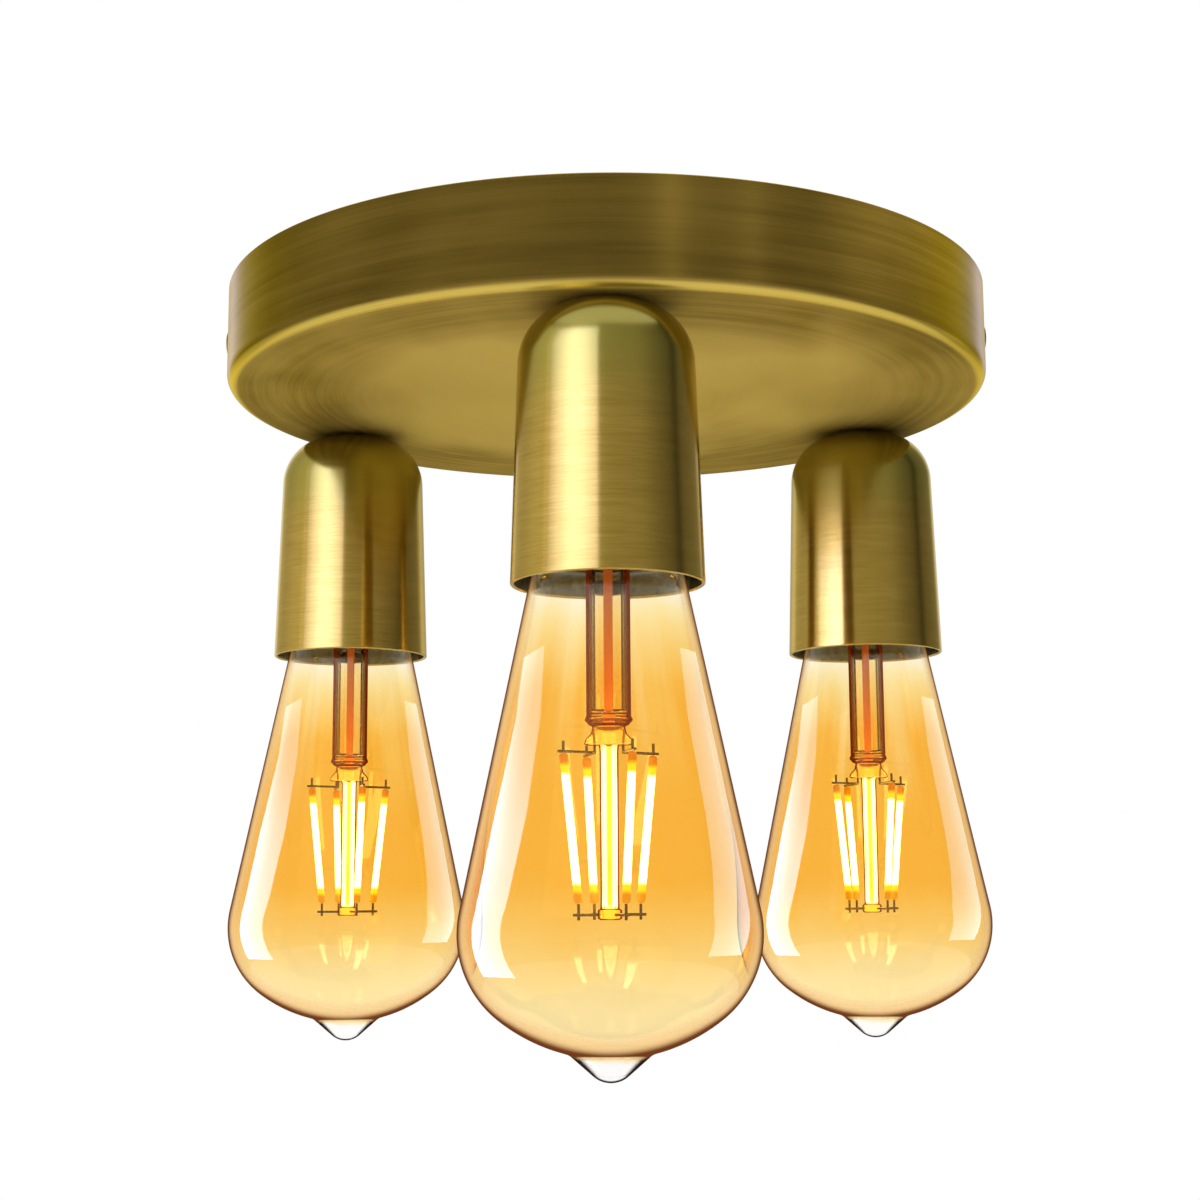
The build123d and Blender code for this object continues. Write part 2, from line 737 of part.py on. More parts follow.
def make_terminals():
    bore_level = porcelain_top + terminal_height / 2
    with BuildPart() as terminals:
        for side in (1, -1):
            with BuildSketch(Plane.XY.offset(porcelain_top)):
                with Locations((0, side * terminal_offset)):
                    Rectangle(terminal_width, terminal_length)
            extrude(amount=terminal_height)
        with BuildSketch(Plane.XZ):
            with Locations((0, bore_level)):
                Circle(wire_diameter / 2 + seat_fit)
        extrude(amount=terminal_offset + terminal_length / 4, both=True, mode=Mode.SUBTRACT)
        with BuildSketch(Plane.XY.offset(bore_level)):
            with Locations((0, terminal_offset), (0, -terminal_offset)):
                Circle(clamp_screw_radius + seat_fit)
        extrude(amount=terminal_height, mode=Mode.SUBTRACT)
        tab_end = terminal_offset - terminal_length / 2
        with BuildSketch(Plane.XY.offset(porcelain_top)):
            with Locations((0, tab_end - terminal_tab_reach / 2)):
                Rectangle(terminal_width, terminal_tab_reach)
            with Locations((0, contact_rivet_offset)):
                Circle(rivet_diameter / 2 + seat_fit, mode=Mode.SUBTRACT)
        extrude(amount=terminal_tab_thickness)
    place(terminals.part, "holder_terminals")


def make_terminal_screws():
    head_bottom = porcelain_top + terminal_height
    tip = porcelain_top + terminal_height / 2 + wire_diameter / 2 + seat_fit
    with BuildPart() as screws:
        for side in (1, -1):
            with BuildSketch(Plane.XY.offset(head_bottom)):
                with Locations((0, side * terminal_offset)):
                    Circle(terminal_screw_head_diameter / 2)
            extrude(amount=terminal_screw_head_height)
            with BuildSketch(Plane.XY.offset(tip)):
                with Locations((0, side * terminal_offset)):
                    Circle(clamp_screw_radius)
            extrude(amount=head_bottom - tip)
        with BuildSketch(Plane.XY.offset(head_bottom + terminal_screw_head_height)):
            with Locations((0, terminal_offset), (0, -terminal_offset)):
                Rectangle(terminal_screw_head_diameter + 1, 0.8)
        extrude(amount=-terminal_screw_head_height / 2, mode=Mode.SUBTRACT)
    place(screws.part, "holder_terminal_screws")


def make_rivets():
    """One rivet joins the live terminal to the strip, one the neutral one to the shell."""
    strip_side = well_roof - contact_strip_thickness
    shell_side = well_roof - shell_wall
    tab_top = porcelain_top + terminal_tab_thickness
    stations = ((contact_rivet_offset, strip_side, tab_top, True),
                (-shell_rivet_offset, shell_side, porcelain_top, False))
    with BuildPart() as rivets:
        for y, bottom, top, upper_head in stations:
            with BuildSketch(Plane.XY.offset(bottom)):
                with Locations((0, y)):
                    Circle(rivet_diameter / 2)
            extrude(amount=top - bottom)
            with BuildSketch(Plane.XY.offset(bottom)):
                with Locations((0, y)):
                    Circle(rivet_head_diameter / 2)
            extrude(amount=-rivet_head_height)
            if upper_head:
                with BuildSketch(Plane.XY.offset(top)):
                    with Locations((0, y)):
                        Circle(rivet_head_diameter / 2)
                extrude(amount=rivet_head_height * 0.7)
    place(rivets.part, "terminal_rivets")


# ---- Wires: level runs inside the canopy, then down through each threaded tube ----

terminal_bore_level = porcelain_top + terminal_height / 2
terminal_mouth = terminal_offset - terminal_length / 2
wire_end = terminal_mouth + 1.5
inside_clamp = -insert_length / 2 + 1.5
block_face = -block_width / 2


def run_y(y):
    """A distance in the wires' plan, which is drawn for holders on a circle of radius 82.5."""
    return y * holder_radius / 82.5


def run_xy(x, y):
    return run_y(x), run_y(y)


def bend_radii(points, tight):
    """The widest bend at each corner that its runs allow; tight holds the chosen ones."""
    radii = []
    for index in range(1, len(points) - 1):
        before = Vector(*points[index]) - Vector(*points[index - 1])
        after = Vector(*points[index + 1]) - Vector(*points[index])
        half_turn = math.radians(before.get_angle(after)) / 2
        run = min(before.length, after.length)
        widest = wire_run_share * run / math.tan(half_turn)
        radii.append(tight.get(index, widest))
    return radii


def wire(label, points, tight):
    """An insulated wire along its route, with a tangent arc at each corner."""
    radii = bend_radii(points, tight)
    print(label, "bend radii", [round(radius, 1) for radius in radii])
    with BuildPart() as cord:
        with BuildLine() as route:
            FilletPolyline(*points, radius=radii)
        with BuildSketch(Plane(origin=points[0], z_dir=route.wires()[0] % 0)):
            Circle(wire_diameter / 2)
        sweep(path=route.wires()[0])
    return cord.part


def holder_wire(label, run, side, way, level):
    """A wire from the block along run, down the tube of one holder, to its terminal.

    way is +1 for the live terminal and -1 for the neutral one.
    """
    x, y = holder_spots[side]
    drop_y = y + way * wire_spacing / 2
    points = list(run)
    points.append((x, drop_y, -level))
    points.append((x, drop_y, terminal_bore_level))
    points.append((x, y + way * wire_end, terminal_bore_level))
    last = len(points) - 2
    return wire(label, points, {last: drop_radius, last - 1: drop_radius})


def make_wires():
    live_x = [pole_xs[0] + step * block_wire_pitch for step in (-1, 0, 1)]
    neutral_x = [pole_xs[2] + step * block_wire_pitch for step in (-1, 0, 1)]
    level, low = -live_level, -neutral_level
    live_runs = {
        "left": [(live_x[0], run_y(-22)), run_xy(-10, -37), run_xy(-44, -24), run_xy(-63, 8)],
        "front": [(live_x[1], run_y(-34)), run_xy(3, -58)],
        "right": [(live_x[2], run_y(-21)), run_xy(36, -36), run_xy(60, -24), run_xy(72, 8)],
    }
    neutral_runs = {
        "left": [(neutral_x[0], run_y(-26)), run_xy(20, -46), run_xy(-12, -50), run_xy(-44, -36),
                 run_xy(-66, -4)],
        "front": [(neutral_x[1], run_y(-26)), run_xy(35, -52), run_xy(23, -76)],
        "right": [(neutral_x[2], run_y(-25)), run_xy(56, -35), run_xy(75, -19), run_xy(79, 12)],
    }
    with BuildPart() as lives:
        for index, (side, plan) in enumerate(live_runs.items()):
            run = [(live_x[index], inside_clamp, level)] + [(x, y, level) for x, y in plan]
            add(holder_wire(f"live {side}", run, side, 1, live_level))
    save(lives.part, "live_wires")
    with BuildPart() as neutrals:
        for index, (side, plan) in enumerate(neutral_runs.items()):
            start = [(neutral_x[index], y, clamp_level) for y in (inside_clamp, block_face - 3)]
            run = start + [(x, y, low) for x, y in plan]
            add(holder_wire(f"neutral {side}", run, side, -1, neutral_level))
    save(neutrals.part, "neutral_wires")
    earth_run = [(pole_xs[1], inside_clamp, clamp_level), (pole_xs[1], block_face - 5, clamp_level),
                 (*run_xy(16, -25), tag_level), (*run_xy(-6, -27), tag_level),
                 (earth_x, run_y(-19), tag_level),
                 (earth_x, -earth_tag_barrel_reach + 3, tag_level)]
    save(wire("earth", earth_run, {}), "earth_wire")


# ---- Lamp glass ----

end_centre_depth = lamp_widest_depth - math.sqrt(
    (lamp_end_radius - lamp_belly_radius) ** 2
    - (lamp_diameter / 2 - lamp_belly_radius) ** 2)


def glass_outline(inset):
    """Draw the lamp's half outline from the neck down, moved inward by inset.

    The outside ends in the sealed tip, which is solid, so the inside runs on over it.
    """
    tilt = math.radians(lamp_cone_angle)
    lean = math.radians(tip_slope)
    belly = lamp_belly_radius - inset
    end = lamp_end_radius - inset
    shoulder = lamp_shoulder_radius - inset
    belly_r = lamp_diameter / 2 - lamp_belly_radius
    belly_z = lamp_contact - lamp_widest_depth
    end_z = lamp_contact - end_centre_depth
    shoulder_z = lamp_contact - lamp_shoulder_depth
    cone_low = (belly_r + belly * math.cos(tilt), belly_z + belly * math.sin(tilt))
    outer_low_r = belly_r + lamp_belly_radius * math.cos(tilt)
    outer_low_z = belly_z + lamp_belly_radius * math.sin(tilt)
    outer_high_z = shoulder_z + lamp_shoulder_radius * math.sin(tilt)
    outer_high_r = outer_low_r - (outer_high_z - outer_low_z) * math.tan(tilt)
    shoulder_r = outer_high_r - lamp_shoulder_radius * math.cos(tilt)
    cone_high = (shoulder_r + shoulder * math.cos(tilt), shoulder_z + shoulder * math.sin(tilt))
    neck_r = lamp_neck_diameter / 2 - inset
    neck_rise = math.sqrt(shoulder ** 2 - (neck_r - shoulder_r) ** 2)
    neck_low = (neck_r, shoulder_z + neck_rise)
    neck_half = (math.atan2(neck_rise, neck_r - shoulder_r) + tilt) / 2
    shoulder_mid = (shoulder_r + shoulder * math.cos(neck_half),
                    shoulder_z + shoulder * math.sin(neck_half))
    fall = belly_z - end_z
    reach = math.hypot(belly_r, fall)
    join = (end * belly_r / reach, end_z + end * fall / reach)
    join_half = (math.atan2(fall, belly_r) + tilt) / 2
    belly_mid = (belly_r + belly * math.cos(join_half), belly_z + belly * math.sin(join_half))
    base_r = 0 if inset else tip_base_diameter / 2
    base = (base_r, end_z - math.sqrt(end ** 2 - base_r ** 2))
    mid_r = (join[0] + base_r) / 2
    end_mid = (mid_r, end_z - math.sqrt(end ** 2 - mid_r ** 2))
    tip_z = lamp_contact - lamp_length
    tip_side = (tip_radius * math.sin(lean), tip_z + tip_radius * (1 - math.cos(lean)))
    tip_mid = (tip_radius * math.sin(lean / 2), tip_z + tip_radius * (1 - math.cos(lean / 2)))
    with BuildLine() as outline:
        Line((0, neck_top), (neck_r, neck_top))
        Line((neck_r, neck_top), neck_low)
        ThreePointArc(neck_low, shoulder_mid, cone_high)
        Line(cone_high, cone_low)
        ThreePointArc(cone_low, belly_mid, join)
        ThreePointArc(join, end_mid, base)
        if not inset:
            Line(base, tip_side)
            ThreePointArc(tip_side, tip_mid, (0, tip_z))
        Line((0, base[1] if inset else tip_z), (0, neck_top))
    return outline.line


def make_glass():
    with BuildPart() as glass:
        with BuildSketch(Plane.XZ):
            with BuildLine():
                add(glass_outline(0))
            make_face()
            with BuildLine():
                add(glass_outline(lamp_glass_wall))
            make_face(mode=Mode.SUBTRACT)
        revolve(axis=Axis.Z)
    place_singly(glass.part, "bulb", "_glass")


# ---- Lamp stem: flared tube, pinch, pillar and hub, in one fused glass mount ----

stem_radius = stem_tube_diameter / 2
pinch_top = lamp_contact - stem_tube_end
pinch_bottom = pinch_top - pinch_height
hub_top = lamp_contact - hub_depth


def make_stem():
    flare_top = lamp_contact - stem_flare_depth
    flare_low = flare_top - stem_flare_height
    flare_r = lamp_neck_diameter / 2 - lamp_glass_wall - seat_fit
    with BuildPart() as stem:
        with BuildSketch(Plane.XZ):
            with BuildLine():
                outer = FilletPolyline((flare_r, flare_top - stem_tube_wall),
                                       (stem_radius, flare_low), (stem_radius, pinch_top),
                                       radius=stem_flare_radius)
                bore = stem_radius - stem_tube_wall
                inner = FilletPolyline((flare_r, flare_top), (bore, flare_low + stem_tube_wall),
                                       (bore, pinch_top),
                                       radius=stem_flare_radius + stem_tube_wall)
                Line(outer @ 0, inner @ 0)
                Line(outer @ 1, inner @ 1)
            make_face()
        revolve(axis=Axis.Z)
        with BuildSketch(Plane.XY.offset(pinch_top)):
            Circle(stem_radius)
        extrude(amount=stem_bead_height)
        bead = stem_bead_height / 2
        with Locations((0, 0, pinch_top + bead)):
            Torus(stem_bead_diameter / 2 - bead, bead)
        with BuildSketch(Plane.XY.offset(pinch_top)):
            RectangleRounded(pinch_top_width, pinch_thickness, pinch_thickness * 0.4)
        with BuildSketch(Plane.XY.offset(pinch_bottom)):
            RectangleRounded(pinch_bottom_width, pinch_thickness, pinch_thickness * 0.4)
        loft()
        add(ring(pillar_diameter / 2, 0, hub_top, pinch_bottom))
        add(ring(hub_diameter / 2, 0, hub_top - hub_height, hub_top))
        hole = exhaust_diameter / 2 + seat_fit
        with BuildSketch(Plane.XY.offset(pinch_top)):
            Circle(hole)
        extrude(amount=stem_bead_height, mode=Mode.SUBTRACT)
        with BuildSketch(Plane.XY.offset(pinch_bottom)):
            with GridLocations(2 * lead_wire_spread, 0, 2, 1):
                Circle(lead_wire_diameter / 2 + seat_fit / 2)
        extrude(amount=pinch_height + stem_bead_height, mode=Mode.SUBTRACT)
    place_singly(stem.part, "bulb", "_stem")


def make_exhaust():
    tube = ring(exhaust_diameter / 2, exhaust_bore / 2, pinch_top, lamp_contact - exhaust_top)
    place_singly(tube, "bulb", "_exhaust_tube")


# ---- Lamp filaments and the wires that carry them ----

def filament_ends(index):
    angle = math.radians(filament_turn_angle + index * 360 / filament_count)
    aim = (math.cos(angle), math.sin(angle))
    top = (filament_top_radius * aim[0], filament_top_radius * aim[1],
           lamp_contact - filament_top_depth)
    bottom = (filament_bottom_radius * aim[0], filament_bottom_radius * aim[1],
              lamp_contact - filament_bottom_depth)
    return top, bottom, aim


def make_filaments():
    with BuildPart() as filaments:
        for index in range(filament_count):
            top, bottom, _ = filament_ends(index)
            add(rod_between(top, bottom, filament_diameter))
    place_singly(filaments.part, "bulb", "_filaments")


def make_supports():
    """Wires that hold the filaments: two arms from the pinch and four from the hub."""
    arm_gap = support_wire_diameter / 2 + seat_fit
    arm_z = lamp_contact - filament_top_depth + arm_gap
    hub_z = hub_top - hub_height / 2
    with BuildPart() as supports:
        for index in range(filament_count):
            top, bottom, aim = filament_ends(index)
            lead_x = math.copysign(lead_wire_spread, aim[0])
            arm_end = (top[0] + support_overhang * aim[0], top[1] + support_overhang * aim[1],
                       arm_z)
            add(rod_between((lead_x, 0, arm_z), arm_end, support_wire_diameter))
            add(rod_between((top[0], top[1], arm_z), (top[0], top[1], arm_z + support_pin_length),
                            support_wire_diameter))
            reach = filament_bottom_radius + support_overhang
            add(rod_between((hub_diameter / 2 * aim[0], hub_diameter / 2 * aim[1], hub_z),
                            (reach * aim[0], reach * aim[1], hub_z), support_wire_diameter))
            add(rod_between((bottom[0], bottom[1], bottom[2] - seat_fit),
                            (bottom[0], bottom[1], hub_z - support_pin_length / 2),
                            support_wire_diameter))
        for side in (-1, 1):
            add(rod_between((side * lead_wire_spread, 0, arm_z),
                            (side * lead_wire_spread, 0, pinch_bottom), support_wire_diameter))
    place_singly(supports.part, "bulb", "_filament_supports")


def make_lead_wires():
    eyelet_z = lamp_contact - button_height
    with BuildPart() as leads:
        for side in (-1, 1):
            add(rod_between((side * lead_wire_spread, 0, pinch_bottom),
                            (side * lead_wire_spread, 0, board_bottom), lead_wire_diameter))
        add(rod_between((0, 0, board_bottom + board_thickness), (0, 0, eyelet_z),
                        lead_wire_diameter))
        shell_y = cap_bore_diameter / 2 - lead_wire_diameter
        add(rod_between((0, shell_y - 2, board_bottom), (0, shell_y, board_bottom - 2.5),
                        lead_wire_diameter))
    place_singly(leads.part, "bulb", "_lead_wires")


def make_driver():
    board_top = board_bottom + board_thickness
    with BuildPart() as driver:
        with BuildSketch(Plane.XY.offset(board_bottom)):
            Circle(board_diameter / 2)
            Circle(lead_wire_diameter / 2 + seat_fit, mode=Mode.SUBTRACT)
        extrude(amount=board_thickness)
        with BuildSketch(Plane.XY.offset(board_top)):
            with Locations((-capacitor_offset, 0)):
                Circle(capacitor_diameter / 2)
        extrude(amount=capacitor_height)
        with BuildSketch(Plane.XY.offset(board_top)):
            with Locations((capacitor_offset, 0)):
                Rectangle(rectifier_size, rectifier_size)
        extrude(amount=rectifier_height)
        with BuildSketch(Plane.YZ.offset(-resistor_length / 2)):
            with Locations((-resistor_offset, board_bottom - resistor_diameter / 2 + 0.2)):
                Circle(resistor_diameter / 2)
        extrude(amount=resistor_length)
    place_singly(driver.part, "bulb", "_driver_board")


# ---- Lamp cap: screw shell, insulator and contact ----

vitrite_bottom = lamp_contact - vitrite_depth
cap_roof = vitrite_bottom
skirt_top = cap_thread_bottom - thread_half_width


def make_cap():
    bore = cap_bore_diameter / 2
    neck_bore = lamp_neck_diameter / 2 + seat_fit
    lip = vitrite_diameter / 2 - 1.0
    skirt = cap_skirt_diameter / 2
    with BuildPart() as cap:
        with BuildSketch(Plane.XZ):
            with BuildLine():
                Polyline((lip, cap_roof), (cap_thread_root - 0.6, cap_roof),
                         (cap_thread_root, cap_roof - 0.8), (cap_thread_root, skirt_top),
                         (skirt, skirt_top - 0.6), (skirt, cap_bottom), (neck_bore, cap_bottom),
                         (neck_bore, neck_top + seat_fit), (bore, neck_top + seat_fit),
                         (bore, cap_roof - 0.8), (lip, cap_roof - 0.8), (lip, cap_roof))
            make_face()
        revolve(axis=Axis.Z)
        add(thread_ridge(cap_thread_root, thread_depth, cap_thread_turns, cap_thread_bottom))
    place_singly(cap.part, "bulb", "_cap")
    wire_hole = lead_wire_diameter / 2 + seat_fit
    button = button_diameter / 2
    wide = vitrite_diameter / 2
    with BuildPart() as vitrite:
        with BuildSketch(Plane.XZ):
            with BuildLine():
                Polyline((wire_hole, lamp_contact - button_height),
                         (button, lamp_contact - button_height), (wide, vitrite_bottom + 0.8),
                         (wide, vitrite_bottom), (wire_hole, vitrite_bottom),
                         (wire_hole, lamp_contact - button_height))
            make_face()
        revolve(axis=Axis.Z)
    place_singly(vitrite.part, "bulb", "_cap_insulator")
    with BuildPart() as contact:
        with BuildSketch(Plane.XY.offset(lamp_contact - button_height)):
            Circle(button)
        extrude(amount=button_height)
        fillet(contact.edges().group_by(Axis.Z)[-1], button_height * 0.6)
        with BuildSketch(Plane.XY.offset(lamp_contact)):
            Circle(button_eyelet_diameter / 2)
        extrude(amount=-button_height / 3, mode=Mode.SUBTRACT)
    place_singly(contact.part, "bulb", "_contact")


def main():
    os.makedirs("parts", exist_ok=True)
    make_canopy()
    make_bracket()
    make_side_screws()
    make_terminal_block()
    make_terminal_inserts()
    make_clamp_screws()
    make_block_fixing_screws()
    make_earth_point()
    make_tube_hardware()
    make_covers()
    make_saddles()
    make_saddle_screws()
    make_porcelain()
    make_screw_shells()
    make_contacts()
    make_terminals()
    make_terminal_screws()
    make_rivets()
    make_wires()
    make_glass()
    make_stem()
    make_exhaust()
    make_filaments()
    make_supports()
    make_lead_wires()
    make_driver()
    make_cap()


main()
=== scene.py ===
import json
import math

import bmesh
import bpy
from mathutils import Matrix, Vector

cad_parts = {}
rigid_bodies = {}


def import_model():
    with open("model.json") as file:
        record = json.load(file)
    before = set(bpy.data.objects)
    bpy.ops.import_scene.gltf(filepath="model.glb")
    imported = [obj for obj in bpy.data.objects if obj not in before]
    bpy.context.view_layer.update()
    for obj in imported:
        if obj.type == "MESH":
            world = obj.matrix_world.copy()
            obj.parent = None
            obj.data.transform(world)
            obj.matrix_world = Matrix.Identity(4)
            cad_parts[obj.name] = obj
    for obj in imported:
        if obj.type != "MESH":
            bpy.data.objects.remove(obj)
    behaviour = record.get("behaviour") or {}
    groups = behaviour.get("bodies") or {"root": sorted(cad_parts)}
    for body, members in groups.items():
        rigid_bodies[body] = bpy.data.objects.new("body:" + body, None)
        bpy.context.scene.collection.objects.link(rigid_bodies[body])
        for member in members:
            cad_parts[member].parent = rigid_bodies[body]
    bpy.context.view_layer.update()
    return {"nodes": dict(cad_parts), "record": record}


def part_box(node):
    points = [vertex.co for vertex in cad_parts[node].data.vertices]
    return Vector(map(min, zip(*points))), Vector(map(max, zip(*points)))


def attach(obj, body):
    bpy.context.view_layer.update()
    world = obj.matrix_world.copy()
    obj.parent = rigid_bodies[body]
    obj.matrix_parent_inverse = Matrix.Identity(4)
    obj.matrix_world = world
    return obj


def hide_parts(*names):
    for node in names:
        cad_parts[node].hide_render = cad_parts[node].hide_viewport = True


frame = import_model()

bl_info = {
    "name": "Semi Flush Ceiling Light",
    "version": (1, 0, 0),
    "blender": (4, 5, 0),
    "location": "View3D > Sidebar > Ceiling Light",
    "description": "Builds the brass canopy, domed holders and amber filament lamps of a ceiling light",
    "category": "Object",
}

MM = 0.001
# Edges that turn by more than this many degrees stay hard.
CREASE = 32
SIDES = ("front", "left", "right")
BLOWN_GLASS = {"Transmission Weight": 1.0, "Roughness": 0.0, "IOR": 1.45}

# The boxes of the solids that the finer pieces replace, in metres.
canopy_low, canopy_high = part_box("canopy")
cover_low, cover_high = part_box("holder_cover_front")
glass_low, glass_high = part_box("bulb_front_glass")
stem_low, stem_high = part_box("bulb_front_stem")


def holder_axis(side):
    """Where the axis of one holder meets the ceiling, in metres."""
    low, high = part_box(f"holder_cover_{side}")
    return Vector(((low.x + high.x) / 2, (low.y + high.y) / 2, 0))


# ---- Sizes and colours that a user can change ----

def distance(name, default, description):
    """A length, kept in metres."""
    return bpy.props.FloatProperty(name=name, description=description, default=default,
                                   min=0, unit="LENGTH", subtype="DISTANCE", precision=5)


def tint(name, default, description):
    """A colour as linear red, green and blue."""
    return bpy.props.FloatVectorProperty(name=name, description=description, default=default,
                                         size=3, min=0, max=1, subtype="COLOR")


class CanopySizes(bpy.types.PropertyGroup):
    radius: distance("Radius", canopy_high.x, "Outside radius of the canopy")
    height: distance("Height", -canopy_low.z, "From the ceiling down to the canopy's face")
    wall: distance("Wall", 1.2 * MM, "Thickness of the pressed brass sheet")
    edge: distance("Edge radius", 3.0 * MM, "Bend between the canopy's rim and face")
    tube_hole: distance("Tube hole", 5.25 * MM, "Radius of the hole for each threaded tube")
    screw_hole: distance("Screw hole", 2.25 * MM, "Radius of the hole for each side screw")
    screw_drop: distance("Screw drop", 9.0 * MM, "From the ceiling down to the side screws")


class CoverSizes(bpy.types.PropertyGroup):
    top: distance("Top", 25.0 * MM, "From the ceiling down to the top of a holder cover")
    length: distance("Length", cover_high.z - cover_low.z, "Height of a holder cover")
    mouth: distance("Mouth radius", (cover_high.x - cover_low.x) / 2, "Radius of the open end")
    crown: distance("Crown radius", 19.0 * MM, "Radius that the wall would have at the top")
    shoulder: distance("Shoulder radius", 13.5 * MM, "Bend between the top and the wall")
    wall: distance("Wall", 0.9 * MM, "Thickness of the drawn brass")
    hole: distance("Tube hole", 5.25 * MM, "Radius of the hole in the dome's top")


class GlassSizes(bpy.types.PropertyGroup):
    top: distance("Neck", -glass_high.z, "From the ceiling down to the end of the neck")
    bottom: distance("Tip", -glass_low.z, "From the ceiling down to the sealed tip")
    widest: distance("Widest radius", (glass_high.x - glass_low.x) / 2, "Radius of the belly")
    widest_drop: distance("Widest level", 160.5 * MM, "From the ceiling down to the belly")
    neck: distance("Neck radius", 12.2 * MM, "Radius of the neck inside the cap")
    wall: distance("Wall", 0.7 * MM, "Thickness of the blown glass")


class StemSizes(bpy.types.PropertyGroup):
    flare_top: distance("Flare", -stem_high.z, "From the ceiling down to the stem's flare")
    hub_bottom: distance("Hub", -stem_low.z, "From the ceiling down to the end of the hub")
    tube: distance("Tube radius", 4.75 * MM, "Radius of the stem's glass tube")
    tube_wall: distance("Tube wall", 0.7 * MM, "Thickness of the stem's glass tube")
    pillar: distance("Pillar radius", 2.0 * MM, "Radius of the rod that carries the hub")


class FilamentSizes(bpy.types.PropertyGroup):
    radius: distance("Radius", 0.85 * MM, "Radius of a filament's coating")
    top_radius: distance("Top circle", 10.7 * MM, "From the lamp's axis to a filament's head")
    bottom_radius: distance("Bottom circle", 7.3 * MM, "From the lamp's axis to its foot")
    top_drop: distance("Head level", 123.3 * MM, "From the ceiling down to the heads")
    bottom_drop: distance("Foot level", 154.4 * MM, "From the ceiling down to the feet")
    turn: bpy.props.FloatProperty(name="Turn", description="Turn of the four filaments",
                                  default=math.radians(27), subtype="ANGLE", unit="ROTATION")


class FinishColours(bpy.types.PropertyGroup):
    brass: tint("Brass", (0.52, 0.36, 0.075), "Lacquered antique brass of the holder covers")
    brass_shade: tint("Brass shade", (0.40, 0.27, 0.042), "The covers between their bright hairlines")
    # The dome colour is painted shade at the tops of the covers.
    dome: tint("Dome", (0.335, 0.295, 0.052), "Greener brass round the tops of the covers")
    patina: tint("Patina", (0.42, 0.285, 0.060), "The browner brass of the canopy")
    patina_shade: tint("Patina shade", (0.17, 0.11, 0.018), "The canopy's darkest streaks")
    face: tint("Face", (0.56, 0.40, 0.095), "The soft golden clouds on the canopy's face")
    # The worn edge colour also paints the highlight along the canopy's bend.
    worn_and_highlight: tint("Worn edge", (0.76, 0.56, 0.11), "Brass that the rim's bend has rubbed bright")
    amber: tint("Amber", (0.965, 0.66, 0.19), "Strongest tint of the lamp glass")
    pale_amber: tint("Pale amber", (0.986, 0.87, 0.56), "Tint near the neck and the tip")
    glass_rim: tint("Glass rim", (0.96, 0.61, 0.25), "Beige of the glass that is seen aslant")
    outline: tint("Glass edge", (0.17, 0.048, 0.012), "Brown that thick glass shows at its edge")


class StageSettings(bpy.types.PropertyGroup):
    floor_drop: distance("Floor", 0.9, "From the ceiling down to the pale floor")
    lens: bpy.props.FloatProperty(name="Lens", description="Focal length in millimetres",
                                  default=57.924, min=10, max=300)
    camera_spot: bpy.props.FloatVectorProperty(
        name="Camera", description="Where the camera stands", size=3,
        default=(-0.00027, -0.4913, -0.1525), subtype="TRANSLATION", unit="LENGTH", precision=5)
    camera_aim: bpy.props.FloatVectorProperty(
        name="Camera aim", description="The camera's pitch, turn and roll", size=3,
        default=[math.radians(a) for a in (8.67, 0.20, -0.35)], subtype="EULER", unit="ROTATION")


SETTINGS = {
    "canopy_sizes": CanopySizes,
    "cover_sizes": CoverSizes,
    "glass_sizes": GlassSizes,
    "stem_sizes": StemSizes,
    "filament_sizes": FilamentSizes,
    "finish_colours": FinishColours,
    "stage_settings": StageSettings,
}


# ---- Shader maths ----

class Reading:
    """A socket that takes part in sums. Each sum adds one Math node."""

    def __init__(self, finish, socket):
        self.finish = finish
        self.socket = socket

    def __neg__(self):
        return self.finish.math("MULTIPLY", self, -1)

    def __add__(self, other):
        return self.finish.math("ADD", self, other)

    def __sub__(self, other):
        return self.finish.math("SUBTRACT", self, other)

    def __rsub__(self, other):
        return self.finish.math("SUBTRACT", other, self)

    def __mul__(self, other):
        return self.finish.math("MULTIPLY", self, other)

    def __truediv__(self, other):
        return self.finish.math("DIVIDE", self, other)

    def __pow__(self, other):
        return self.finish.math("POWER", self, other)

    __radd__ = __add__
    __rmul__ = __mul__


